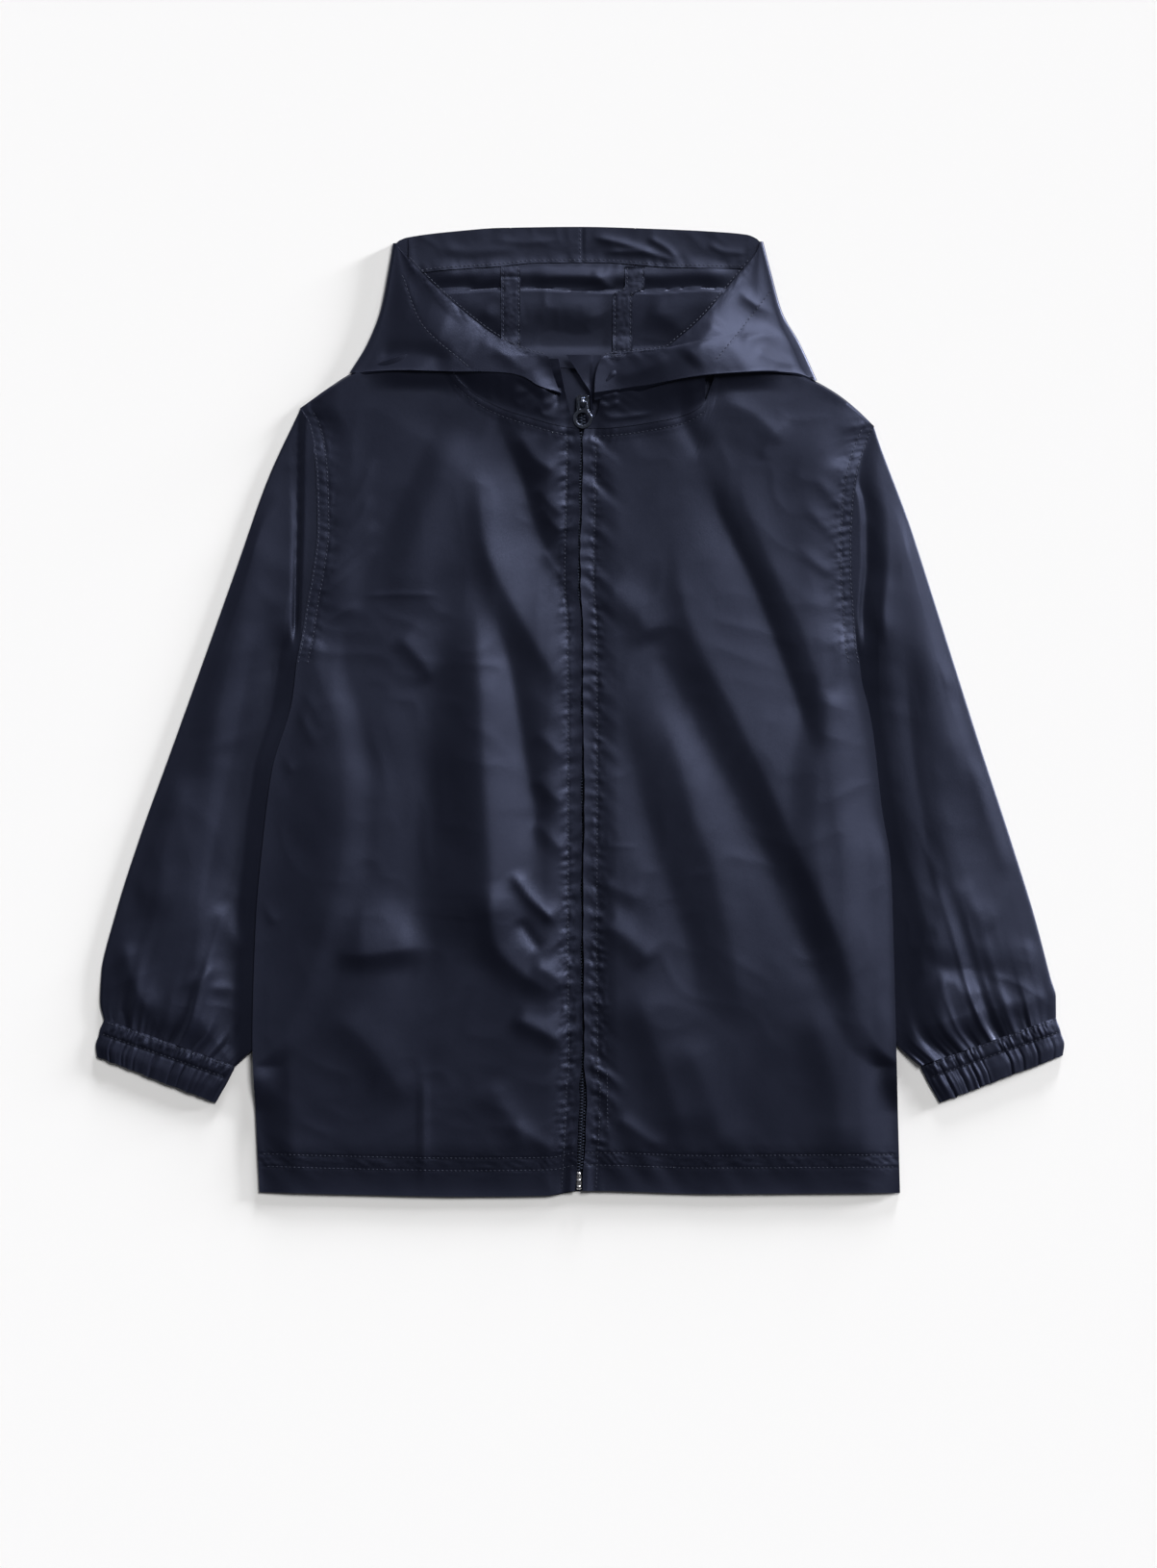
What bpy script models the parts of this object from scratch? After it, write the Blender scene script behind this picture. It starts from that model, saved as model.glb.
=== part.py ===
"""A child's hooded nylon rain mac, zipped shut and laid out flat on its back.

Tables and sizes are in millimetres, and the objects are built in metres.
+X is the wearer's left, +Y runs from the hem to the hood, and +Z is up off the surface
that the mac lies on. The origin is on that surface, under the middle of the mac.
Side tables give distances outward from the centre front, so one function makes both sides.
"""

from collections import namedtuple

import bmesh
import bpy
import numpy as np

MM = 0.001

# Cloth and clearances
CLOTH = 1.0  # wall of every cloth piece
SEAM_GAP = 0.4  # between two pieces that are sewn edge to edge
LAYER_GAP = 0.5  # between two layers that lie on each other

# Body
FRONT_LOFT = 3.3  # how far the fronts stand off the back
SIDE_ROUND, SHOULDER_ROUND, HEM_ROUND = 26.0, 22.0, 34.0  # how wide a front rounds down there
ARMHOLE_PRESS, HEM_PRESS, PLACKET_PRESS = 0.45, 0.35, 0.75  # share of the loft left there
PLACKET_WIDTH = 24.0
UNDERARM_Y = 34.0
NECK_POINT = 92.0  # distance out to where the neck seam meets the shoulder seam
HEM_Y = -320.0
TUCK_RISE = 3.0  # how far the back lifts where a sleeve lies under it
TUCK_INSIDE, TUCK_BLEND = 34.0, 22.0  # it starts this far inside the sleeve's edge
TUCK_END, TUCK_END_BLEND = 32.0, 26.0  # and this far past the ends of the sleeve's edge

# Sleeves and cuffs
SLEEVE_FOLD = 0.75  # bend radius of a sleeve's folded edges
SLEEVE_LOFT = 3.4  # how far the upper half of a sleeve puffs up
CUFF_LOFT = 2.6
GATHERS, GATHER_RISE = 9, 0.7  # soft folds where the elastic draws a sleeve in
RUFFLES, RUFFLE_RISE, RUFFLE_SWAY = 11, 0.8, 1.1  # waves round the upper half of a cuff

# Zip
CHAIN_WIDTH = 4.6
CHAIN_LOW, CHAIN_HIGH = 1.5, 3.6
CHAIN_BOTTOM, CHAIN_TOP = -305.5, 199.3
CHAIN_ROOM, TAPE_ROOM = 3.0, 1.6  # space that the fronts leave over the chain and the tapes
TAPE_WIDTH, TAPE_THICK, TAPE_MIDDLE = 13.0, 0.9, 1.95
TAPE_BOTTOM, TAPE_TOP = -317.0, 186.0
STOP_MIDDLE, STOP_WIDTH, STOP_LENGTH, STOP_HIGH = (-0.7, -311.8), 3.6, 11.6, 4.3
SLIDER_WIDTH, SLIDER_LENGTH, SLIDER_SET_BACK = 8.4, 11.0, 0.4
SLIDER_LOW, SLIDER_HIGH = 1.4, 5.2
BRIDGE_HALF_WIDTH = 1.1
PIVOT = (1.9, 205.6, 6.5)  # axis of the pull tab, across the zip
PULL_LENGTH, PULL_RING, PULL_HOLE, PULL_THICK = 18.4, 13.0, 7.2, 1.2
PULL_PAST_PIVOT, PULL_SHOULDER, PULL_TOP_WIDTH, PULL_NECK_WIDTH = 0.9, 3.6, 6.2, 6.9
PULL_WINDOW, PULL_WINDOW_DOWN = (3.4, 3.8), 2.6

# Hood
HOOD_FOLD = 1.8  # bend radius of the hood's side folds
HOOD_PUFF = (1.0, 8.2)  # how far its upper layer rises, at its top and above the neck
HOOD_PUFF_WIDTH = 46.0  # how far in from the side fold it has risen fully
HOOD_CREASE = 0.9
FELLED_SEAM_OUT = 46.0  # rough distance out to the felled seams, where their ends are worked out
CROSS_FOLD_Y, CROSS_FOLD_RISE = 280.0, 2.4  # the fold across the inside of the hood
FACING_LIFT = 0.3  # of the facing and the felled seams off the cloth below them
FELL_WIDTH, FELL_TOP, FELL_BOTTOM = 13.0, 293.6, 241.0
FELL_BRIDGE = 8.0  # how far a felled seam bridges the step of the cross fold
FOOT_REACH, FOOT_TOP_Y, FOOT_TOP_Z = 84.0, 234.5, 4.6  # the foot of a hood side
GUARD_TOP, GUARD_BOTTOM, GUARD_BOW = (237.0, 7.4), (200.5, 4.2), 1.2  # y and z of its ends

Side = namedtuple("Side", "name sign edge armhole shoulder neck sleeve cuff hood")
Section = namedtuple("Section", "outer_x outer_y inner_x inner_y loft")
Fold = namedtuple("Fold", "spine width rise")
Hood = namedtuple("Hood", "silhouette rim lip seam neck_lean overhang")
Tube = namedtuple("Tube", "out y from_outer from_inner loft is_upper is_fold down")

# Rows of (across, up)
HEM = [(-214, -319.4), (-147, -321.2), (-73, -322.4), (-20, -321.8), (0, -318.6),
       (20, -318.8), (82, -320.6), (213, -320.0)]
BACK_NECK = [(0, 232), (46, 236), (92, 245)]
HOOD_TOP = [(-124, 311.7), (-115, 315.5), (-79, 320.0), (-54, 321.9), (0, 322.6), (56, 321.0),
            (89, 319.4), (111, 317.4), (121.6, 312.6)]
FACING_EDGE = [(-114, 291.0), (-92, 293.6), (-53, 296.3), (-30, 298.6), (12, 298.9),
               (62, 295.6), (112, 294.8)]
# Rows of (up, across)
CENTRE_FRONT = [(-322, -1.0), (-245, 2.2), (-166, 1.6), (-13, 1.8), (60, 1.3), (85, -0.6),
                (150, 0.6), (190, 1.3), (215, 1.9)]
SLIT = [(-322, 2.6), (-250, 2.4), (-236, 0.6), (215, 0.6)]  # half the gap between the fronts
GUARD_RIGHT_EDGE = [(200, 6.9), (211, 6.7), (222, 0.6), (238, -9.6)]
GUARD_LEFT_EDGE = [(200, 8.9), (214, 8.4), (238, 14.6)]

# In a side's tables, edge, armhole and hood.seam hold (up, out), neck_lean holds (up, lean),
# overhang holds (out, share), and the others hold (out, up).
RIGHT = Side(
    name="right",
    sign=-1,
    edge=[(-323, 213.2), (-271, 215.7), (-220, 217.9), (-141, 215.7), (-83, 210.6),
          (-39, 204.8), (8, 191.4), (34, 188.4)],
    armhole=[(34, 188.4), (50, 185.0), (71, 182.0), (92, 178.2), (122, 174.7), (155, 175.4),
             (175, 177.3), (190, 180.5), (202, 186.6)],
    shoulder=[(92, 245), (125, 236), (153, 224.6), (165, 217.0), (186.6, 201.9)],
    neck=[(0, 188.2), (11, 189.4), (34, 195.5), (51, 201.0), (65, 207.7), (77, 216.3),
          (86, 226.0), (92, 245.0)],
    sleeve=[
        Section(186.6, 201.9, 188.8, 34, 0.55),
        Section(206.7, 157.4, 187, 25, 0.8),
        Section(226, 102, 177, -6, 1.0),
        Section(248, 40, 171, -46, 1.0),
        Section(271, -24, 172, -92, 1.0),
        Section(293, -85, 181, -135, 1.0),
        Section(308, -132, 193, -172, 1.0),
        Section(318, -172, 205, -205, 1.05),
        Section(319, -192, 214, -221, 1.05),
        Section(316.5, -204.5, 229, -235.5, 0.9),
    ],
    cuff=[
        Section(316.3, -205.5, 229.6, -236.6, 1.0),
        Section(319.0, -211.0, 232.0, -241.0, 1.15),
        Section(320.0, -215.5, 234.5, -246.0, 0.95),
        Section(322.0, -222.0, 238.5, -253.0, 1.25),
        Section(321.0, -229.5, 242.5, -260.0, 1.1),
    ],
    hood=Hood(
        silhouette=[(124.2, 311.5), (127.4, 291.8), (132.5, 266.9), (141.4, 244.5), (153.0, 225.4)],
        rim=[(119.5, 307.0), (104.3, 290.6), (79.4, 267.5), (53.1, 247.9), (32.0, 238.3),
             (16.6, 235.8), (12.8, 236.5), (11.5, 224.0), (10.9, 211.0)],
        lip=[(10.9, 211.0), (28.2, 217.6), (38, 226.6), (47, 229.4), (86, 226.8), (120, 227.2),
             (153, 225.4)],
        seam=[(230, 45.8), (330, 46.2)],
        neck_lean=[(188, 0), (197, 5.0), (238, 14.3)],
        overhang=[(10, 1.0), (153, 1.0)],
    ),
)
LEFT = Side(
    name="left",
    sign=1,
    edge=[(-323, 213.2), (-202, 209.9), (-152, 208.6), (-101, 206.7), (-65, 201.0),
          (-13, 194.9), (3, 192.0), (21, 187.4), (34, 186.0)],
    armhole=[(34, 186.0), (43, 184.3), (71, 182.4), (92, 181.1), (113, 181.1), (140, 182.4),
             (161, 185.6), (182, 190.1), (190, 192.0)],
    shoulder=[(92, 245), (125, 234), (157.4, 219.5), (171.5, 211.2), (182.4, 200.3), (192, 190)],
    neck=[(0, 188.2), (12, 188.2), (58, 193.9), (72, 197.8), (84, 205.4), (89, 210.6),
          (92, 245.0)],
    sleeve=[
        Section(195.0, 191.0, 186.6, 34, 0.55),
        Section(210.6, 155.5, 186, 25, 0.8),
        Section(225, 108, 178, -8, 1.0),
        Section(246, 42, 171, -48, 1.0),
        Section(269, -26, 171, -92, 1.0),
        Section(289, -86, 180, -135, 1.0),
        Section(304, -137, 191, -172, 1.0),
        Section(314, -176, 202, -205, 1.05),
        Section(317.5, -190, 210, -221, 1.05),
        Section(316.5, -203.5, 226, -235.5, 0.9),
    ],
    cuff=[
        Section(316.4, -204.5, 226.6, -236.6, 1.0),
        Section(318.8, -210.0, 229.0, -241.0, 1.15),
        Section(320.0, -214.5, 231.5, -246.0, 0.95),
        Section(322.0, -221.0, 235.5, -253.0, 1.25),
        Section(321.0, -228.5, 239.5, -260.0, 1.1),
    ],
    hood=Hood(
        silhouette=[(121.6, 312.6), (126.7, 293.1), (134.4, 265.6), (145.9, 245.1), (157.4, 220.3)],
        rim=[(118.0, 305.5), (101.1, 285.4), (80.0, 260.5), (63.0, 245.8), (57.0, 241.3),
             (28.2, 238.1), (16.0, 236.2), (10.0, 222.0), (9.6, 212.0)],
        lip=[(9.6, 212.0), (46.7, 217.6), (71.7, 222.4), (89, 224.6), (125, 226.4), (144, 225.0),
             (157.4, 220.3)],
        seam=[(230, 28.4), (277, 28.4), (283, 36.5), (330, 36.8)],
        neck_lean=[(188, 0), (196, 7.8), (238, 15.0)],
        overhang=[(10, 0.0), (40, 0.1), (75, 1.0), (157, 1.0)],
    ),
)
SIDES = (RIGHT, LEFT)

# The main folds of the fronts, from one end to the other. A negative rise is a trough.
FRONT_FOLDS = {
    "right": [
        Fold([(-63, 186), (-42, 129), (-20, 78), (-10, 36)], 8, 2.6),
        Fold([(-54, 178), (-34, 140), (-15, 108)], 6, -1.6),
        Fold([(-66, 60), (-65, 30), (-55, -83), (-22, -138)], 13, 2.8),
        Fold([(-98, 96), (-102, 0), (-99, -120), (-104, -215)], 13, -2.2),
        Fold([(-150, 120), (-158, 0), (-150, -110)], 16, 2.0),
        Fold([(-131, -112), (-152, -140), (-176, -166)], 9, 2.2),
        Fold([(-131, -112), (-114, -158), (-112, -200)], 8, 1.6),
        Fold([(-70, -132), (-40, -150), (-14, -160)], 8, 1.8),
        Fold([(-130, 208), (-138, 150), (-132, 96)], 12, 1.8),
        Fold([(-60, -240), (-38, -282), (-16, -294)], 7, 1.8),
        Fold([(-186, -40), (-196, -110), (-198, -200)], 8, -1.0),
    ],
    "left": [
        Fold([(112, 190), (120, 161), (141, 106), (160, 71)], 9, 2.6),
        Fold([(78, 192), (108, 166), (114, 133), (134, 92), (155, 64)], 6, -1.8),
        Fold([(109, 24), (144, -39), (161, -77), (178, -108)], 9, 2.8),
        Fold([(67, 4), (84, -56), (118, -125), (149, -176)], 11, 2.8),
        Fold([(72, 29), (101, -22), (129, -77), (160, -162)], 7, -1.8),
        Fold([(49, -56), (70, -116), (94, -176)], 9, -1.8),
        Fold([(13, -182), (30, -240), (52, -290)], 8, 2.2),
        Fold([(40, 170), (52, 110), (50, 40)], 14, 1.8),
        Fold([(60, -200), (84, -250), (96, -300)], 12, 1.6),
        Fold([(150, -200), (168, -250), (176, -300)], 13, 1.8),
    ],
}
# The main folds of the upper half of the sleeves.
SLEEVE_FOLDS = {
    "right": [
        Fold([(-186, 192), (-187, 133), (-190, 84), (-194, 30)], 3.5, -1.4),
        Fold([(-208, 140), (-222, 80), (-238, 10)], 9, 0.9),
        Fold([(-216, 40), (-232, -30), (-246, -100)], 8, -0.9),
        Fold([(-268, -166), (-250, -172), (-232, -166)], 6, 1.3),
        Fold([(-301, -166), (-290, -182), (-284, -200)], 6, 1.4),
    ],
    "left": [
        Fold([(194, 186), (189, 140), (191, 96), (192, 30)], 3.5, -1.4),
        Fold([(212, 130), (226, 70), (240, 6)], 9, 0.9),
        Fold([(214, 40), (228, -30), (240, -100)], 8, -0.9),
        Fold([(246, -120), (255, -134), (270, -150)], 7, 1.3),
        Fold([(298, -166), (288, -182), (280, -200)], 6, 1.4),
    ],
}

# Shares of a body panel's height that its rows lie at, closer together over the armhole
BODY_ROWS = np.concatenate([np.linspace(0, 0.6, 11), np.linspace(0.645, 1, 13)])
# Shares of the way from the side to the centre back
BACK_COLUMNS = np.array([0, 0.03, 0.07, 0.12, 0.17, 0.22, 0.28, 0.34, 0.42, 0.55, 0.75, 1.0])

# Finishes: colour, roughness and metallic value
NYLON = ((0.020, 0.024, 0.042, 1), 0.42, 0.0)
NYLON_INSIDE = ((0.013, 0.015, 0.028, 1), 0.5, 0.0)
TAPE = ((0.012, 0.013, 0.020, 1), 0.7, 0.0)
TEETH = ((0.015, 0.016, 0.022, 1), 0.35, 0.0)
GUNMETAL = ((0.045, 0.046, 0.052, 1), 0.3, 0.9)
SILVER = ((0.62, 0.62, 0.64, 1), 0.28, 1.0)
SHARP_ANGLE = 50  # degrees; a bend above this is an edge


# ---------------------------------------------------------------- curves


def ease(t):
    """0 to 1, with a soft start and end."""
    t = np.clip(t, 0.0, 1.0)
    return t * t * (3.0 - 2.0 * t)


def rising(x, start, end):
    """0 up to start, 1 from end on, and a soft step between them."""
    return ease((x - start) / (end - start))


def mix(a, b, share):
    return a + (b - a) * share


def through(x, table):
    """The smooth curve through a table of (x, value), which doesn't overshoot its rows."""
    xs, ys = np.array(table, float).T
    slope = np.diff(ys) / np.diff(xs)
    turn = slope[:-1] * slope[1:]
    inner = np.where(turn > 0, 2 * turn / np.where(turn > 0, slope[:-1] + slope[1:], 1), 0)
    tangent = np.concatenate([slope[:1], inner, slope[-1:]])
    i = np.clip(np.searchsorted(xs, x) - 1, 0, len(xs) - 2)
    step = xs[i + 1] - xs[i]
    t = np.clip((x - xs[i]) / step, 0, 1)
    return (ys[i] * (1 + 2 * t) * (1 - t) ** 2 + ys[i + 1] * t * t * (3 - 2 * t)
            + step * t * (1 - t) * (tangent[i] * (1 - t) - tangent[i + 1] * t))


def along(points, share):
    """Points at shares 0 to 1 of the length of the smooth curve through these points."""
    points = np.array(points, float)
    run = np.linalg.norm(np.diff(points[:, :2], axis=0), axis=1)
    at = np.concatenate([[0], np.cumsum(run)])
    at = at / at[-1]
    return np.stack([through(share, np.stack([at, column], 1)) for column in points.T], -1)


def graded(count, dense_start=1.0, dense_end=1.0):
    """Shares from 0 to 1, closer together at an end whose value is above 1."""
    t = np.linspace(0, 1, count)
    return mix(t**dense_start, 1 - (1 - t) ** dense_end, 0.5)


def surface(x, y, z):
    """A grid of points from coordinates that broadcast together."""
    return np.stack(np.broadcast_arrays(x, y, z), -1).astype(float)


def fold_height(x, y, folds):
    """How far the folds lift or lower a cloth at (x, y)."""
    total = np.zeros(np.broadcast(x, y).shape)
    for fold in folds:
        spine = along(fold.spine, np.linspace(0, 1, 25))
        away = np.hypot(x[..., None] - spine[:, 0], y[..., None] - spine[:, 1])
        nearest = away.argmin(-1) / (len(spine) - 1)
        taper = ease(4 * nearest) * ease(4 * (1 - nearest))
        total += fold.rise * taper * np.exp(-((away.min(-1) / fold.width) ** 2))
    return total


# ---------------------------------------------------------------- meshes and materials


def finish(colour, roughness, metallic):
    """A named Principled material, made once for each colour."""
    name = "finish_" + "_".join(f"{round(255 * c):02x}" for c in colour[:3])
    material = bpy.data.materials.get(name)
    if material is None:
        material = bpy.data.materials.new(name)
        material.use_nodes = True
        shader = material.node_tree.nodes["Principled BSDF"]
        shader.inputs["Base Color"].default_value = colour
        shader.inputs["Roughness"].default_value = roughness
        shader.inputs["Metallic"].default_value = metallic
        material.diffuse_color = colour
    return material


def place(name, mesh, look, origin=(0, 0, 0)):
    """Links a bmesh, in millimetres, as an object whose origin is at that point."""
    bmesh.ops.translate(mesh, verts=mesh.verts, vec=[-c for c in origin])
    bmesh.ops.scale(mesh, verts=mesh.verts, vec=(MM, MM, MM))
    if mesh.calc_volume(signed=True) < 0:
        bmesh.ops.reverse_faces(mesh, faces=mesh.faces)
    data = bpy.data.meshes.new(name)
    mesh.to_mesh(data)
    mesh.free()
    data.shade_smooth()
    data.set_sharp_from_angle(angle=np.radians(SHARP_ANGLE))
    data.materials.append(finish(*look))
    piece = bpy.data.objects.new(name, data)
    piece.location = [c * MM for c in origin]
    bpy.context.scene.collection.objects.link(piece)
    return piece


def normals(grid, ring):
    """Unit normals of a grid of points; a ring's columns join up."""
    if ring:
        across = np.roll(grid, -1, 1) - np.roll(grid, 1, 1)
    else:
        across = np.gradient(grid, axis=1)
    n = np.cross(across, np.gradient(grid, axis=0))
    return n / np.maximum(np.linalg.norm(n, axis=-1, keepdims=True), 1e-9)


def wall(name, grid, look=NYLON, thick=CLOTH, ring=False, keep=None):
    """A closed wall whose middle surface is this grid of (rows, columns) points, in millimetres.

    ring joins the last column to the first. keep(row, column) leaves out the cells where it is
    false, and every open edge gets a side face.
    """
    rows, columns = grid.shape[:2]
    half = normals(grid, ring) * thick / 2
    mesh = bmesh.new()
    over = [[mesh.verts.new(p) for p in row] for row in grid + half]
    under = [[mesh.verts.new(p) for p in row] for row in grid - half]
    cells = [(i, j) for i in range(rows - 1) for j in range(columns if ring else columns - 1)
             if keep is None or keep(i, j)]
    edges = {}
    for i, j in cells:
        k = (j + 1) % columns
        corners = [(i, j), (i, k), (i + 1, k), (i + 1, j)]
        mesh.faces.new([over[a][b] for a, b in corners])
        mesh.faces.new([under[a][b] for a, b in reversed(corners)])
        for start, end in zip(corners, corners[1:] + corners[:1]):
            if (end, start) in edges:
                del edges[(end, start)]
            else:
                edges[(start, end)] = True
    for (a, b), (c, d) in edges:
        mesh.faces.new([over[c][d], over[a][b], under[a][b], under[c][d]])
    loose = [v for v in mesh.verts if not v.link_faces]
    bmesh.ops.delete(mesh, geom=loose, context="VERTS")
    return place(name, mesh, look)


def slab(name, loops, low, high, look, origin=(0, 0, 0)):
    """A flat plate between two heights. The first loop is its outline, and the others are holes."""
    mesh = bmesh.new()
    rims = []
    for height in (low, high):
        edges = []
        for loop in loops:
            verts = [mesh.verts.new((x, y, height)) for x, y in loop]
            edges += [mesh.edges.new(pair) for pair in zip(verts, verts[1:] + verts[:1])]
        bmesh.ops.triangle_fill(mesh, use_beauty=True, edges=edges)
        rims.append(edges)
    for lower, upper in zip(*rims):
        a, b = lower.verts
        c, d = upper.verts
        mesh.faces.new([a, b, d, c])
    bmesh.ops.recalc_face_normals(mesh, faces=mesh.faces)
    return place(name, mesh, look, origin)


def rounded(x, y, width, length, corner, steps=4):
    """Corner-rounded rectangle round (x, y)."""
    points = []
    for quarter, (a, b) in enumerate([(1, 1), (-1, 1), (-1, -1), (1, -1)]):
        centre_x = x + a * (width / 2 - corner)
        centre_y = y + b * (length / 2 - corner)
        for step in range(steps + 1):
            angle = np.pi / 2 * (quarter + step / steps)
            points.append((centre_x + corner * np.cos(angle), centre_y + corner * np.sin(angle)))
    return points


def arc(x, y, across, start, end, points):
    """Points on a circle of this diameter round (x, y), between two angles in degrees."""
    angles = np.radians(np.linspace(start, end, points))
    return [(x + across / 2 * np.cos(a), y + across / 2 * np.sin(a)) for a in angles]


# ---------------------------------------------------------------- body


def side_edge(y, side):
    """Distance from the centre to the armhole, and below it to the side fold."""
    return np.where(y > UNDERARM_Y, through(y, side.armhole), through(y, side.edge))


def centre_front(y):
    return through(y, CENTRE_FRONT)


def top_of(out, side, neck):
    """Upper edge of a body panel: its neck seam, then its shoulder seam."""
    return np.where(out > NECK_POINT, through(out, side.shoulder), through(out, neck))


def back_height(out, y, side):
    """Under side of the back: on the floor, and lifted where the sleeve lies under its edge."""
    inner_edge = [(s.inner_y, s.inner_x) for s in reversed(side.sleeve)]
    from_sleeve = through(y, inner_edge) - TUCK_INSIDE
    low, high = inner_edge[0][0] - TUCK_END, inner_edge[-1][0] + TUCK_END
    return (TUCK_RISE * rising(out, from_sleeve, from_sleeve + TUCK_BLEND)
            * rising(y, low, low + TUCK_END_BLEND) * (1 - rising(y, high - TUCK_END_BLEND, high)))


def front_height(x, y, side):
    """Under side of a front: on the back along its edges, and lofted with folds inside them."""
    out = np.abs(x)
    shoulder_end = side.shoulder[-1][1]
    beside_armhole = rising(y, UNDERARM_Y - 4, UNDERARM_Y + 30) * rising(shoulder_end - y, 4, 34)
    from_side = rising(side_edge(y, side) - out, 0, SIDE_ROUND)
    from_top = rising(through(out, side.shoulder) - y, 0, SHOULDER_ROUND)
    from_hem = mix(HEM_PRESS, 1.0, rising(y - HEM_Y, 0, HEM_ROUND))
    from_zip = np.abs(x - centre_front(y))
    loft = FRONT_LOFT * mix(ARMHOLE_PRESS * beside_armhole, 1.0, from_side)
    loft = loft * from_top * from_hem * mix(PLACKET_PRESS, 1.0, rising(from_zip, 0, PLACKET_WIDTH))
    folds = fold_height(x, y, FRONT_FOLDS[side.name]) * from_side * from_top * from_hem
    over_tape = 1 - rising(from_zip, CHAIN_WIDTH / 2 + TAPE_WIDTH, TAPE_WIDTH + 8)
    over_chain = 1 - rising(from_zip, CHAIN_WIDTH + 1, CHAIN_WIDTH + 5)
    room = TAPE_ROOM * over_tape + (CHAIN_ROOM - TAPE_ROOM) * over_chain
    lift = np.maximum(loft + LAYER_GAP + folds, np.maximum(room, LAYER_GAP))
    return back_height(out, y, side) + CLOTH + lift


def body_grid(side, across, up, inner, neck):
    """Plan of half a body panel, from the side edge to inner(y), and from the hem to the top."""
    share, rise = np.meshgrid(across, up)
    x_top = mix(side.shoulder[-1][0], 0, share)
    for _ in range(3):
        top = top_of(x_top, side, neck) - SEAM_GAP / 2
        x_top = mix(side_edge(top, side), inner(top), share)
    hem = through(side.sign * mix(side.edge[0][1], 0, share), HEM)
    y = mix(hem, top, rise)
    out = mix(side_edge(y, side) - SEAM_GAP / 2, inner(y), share)
    return out, y


def back():
    """One piece across both sides."""
    halves = []
    for side in SIDES:
        out, y = body_grid(side, BACK_COLUMNS, BODY_ROWS, np.zeros_like, BACK_NECK)
        halves.append(surface(side.sign * out, y, back_height(out, y, side) + CLOTH / 2))
    wall("back", np.concatenate([halves[0], halves[1][:, -2::-1]], 1))


def front_grid(side, up):
    """Plan of a front, from its side fold, armhole and shoulder to its edge beside the zip."""

    def inner(y):
        return side.sign * centre_front(y) + through(y, SLIT)

    return body_grid(side, graded(20, 1.3, 1.2), up, inner, side.neck)


def front(side):
    out, y = front_grid(side, BODY_ROWS)
    x = side.sign * out
    wall("front_" + side.name, surface(x, y, front_height(x, y, side) + CLOTH / 2))


# ---------------------------------------------------------------- sleeves and cuffs


def tube(sections, rows, top, bottom):
    """Plan of a flattened tube. Its columns are the upper run, inner fold, lower run, outer fold."""
    down = np.linspace(0, 1, rows)
    at = np.linspace(0, 1, len(sections))
    outer_x, outer_y, inner_x, inner_y, loft = (
        through(down, np.stack([at, column], 1))[:, None] for column in np.array(sections).T)
    width = np.hypot(inner_x - outer_x, inner_y - outer_y)
    edge = SLEEVE_FOLD / width
    upper = edge + (1 - 2 * edge) * np.linspace(0, 1, top)
    lower = edge + (1 - 2 * edge) * np.linspace(1, 0, bottom)
    across = np.concatenate([upper, np.ones_like(edge), lower, np.zeros_like(edge)], 1)
    column = np.broadcast_to(np.arange(across.shape[1]), across.shape)
    return Tube(
        out=mix(outer_x, inner_x, across),
        y=mix(outer_y, inner_y, across),
        from_outer=across * width,
        from_inner=(1 - across) * width,
        loft=loft,
        is_upper=column < top,
        is_fold=np.isin(column, (top, top + bottom + 1)),
        down=down[:, None],
    )


def tube_height(lift, shape):
    """Middle of the wall: low run on the floor, folds half-way, upper run lifted."""
    upper = CLOTH / 2 + 2 * SLEEVE_FOLD + np.maximum(lift, 0)
    lower = np.where(shape.is_fold, CLOTH / 2 + SLEEVE_FOLD, CLOTH / 2)
    return np.where(shape.is_upper, upper, lower)


def sleeve(side):
    """A set-in sleeve: one flattened tube from the armhole to the elastic."""
    shape = tube(side.sleeve, 18, 22, 7)
    y = shape.y
    # The first row follows the armhole, and the rows after it straighten out
    to_armhole = side_edge(y[:1], side) + 2 * SEAM_GAP - shape.out[:1]
    out = shape.out + to_armhole * (1 - rising(shape.down, 0, 0.2))
    x = side.sign * out
    past_seam = out - side_edge(y, side)
    above_underarm = rising(y, UNDERARM_Y + 4, UNDERARM_Y + 28)
    beside_body = rising(past_seam, 1.5, 19.5)
    beside_armhole = mix(ARMHOLE_PRESS, 1.0, rising(past_seam, 0, 16))
    edges = rising(shape.from_outer, 0, 20)
    edges = edges * mix(1.0, rising(shape.from_inner, 0, 16), above_underarm)
    lift = SLEEVE_LOFT * shape.loft * mix(beside_body, beside_armhole, above_underarm) * edges
    near_cuff = rising(shape.down, 0.72, 1.0)
    across = shape.from_outer / (shape.from_outer + shape.from_inner)
    gathers = GATHER_RISE * near_cuff * np.sin(2 * np.pi * GATHERS * across)
    clear_of_body = rising(past_seam, 3, 13) * rising(shape.from_outer, 0, 12)
    lift = lift + clear_of_body * (fold_height(x, y, SLEEVE_FOLDS[side.name]) + gathers)
    wall("sleeve_" + side.name, surface(x, y, tube_height(lift, shape)), ring=True)


def cuff(side):
    """The elasticated end of a sleeve: a short flattened tube, ruffled all along its upper half."""
    shape = tube(side.cuff, 5, 4 * RUFFLES + 1, 7)
    across = shape.from_outer / (shape.from_outer + shape.from_inner)
    edges = rising(shape.from_outer, 0, 10) * rising(shape.from_inner, 0, 10)
    wave = np.sin(2 * np.pi * RUFFLES * across) * edges
    lift = CUFF_LOFT * shape.loft * edges + RUFFLE_RISE * wave
    y = shape.y + RUFFLE_SWAY * wave * shape.down**2 * shape.is_upper
    wall("cuff_" + side.name, surface(side.sign * shape.out, y, tube_height(lift, shape)), ring=True)


# ---------------------------------------------------------------- hood


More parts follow.
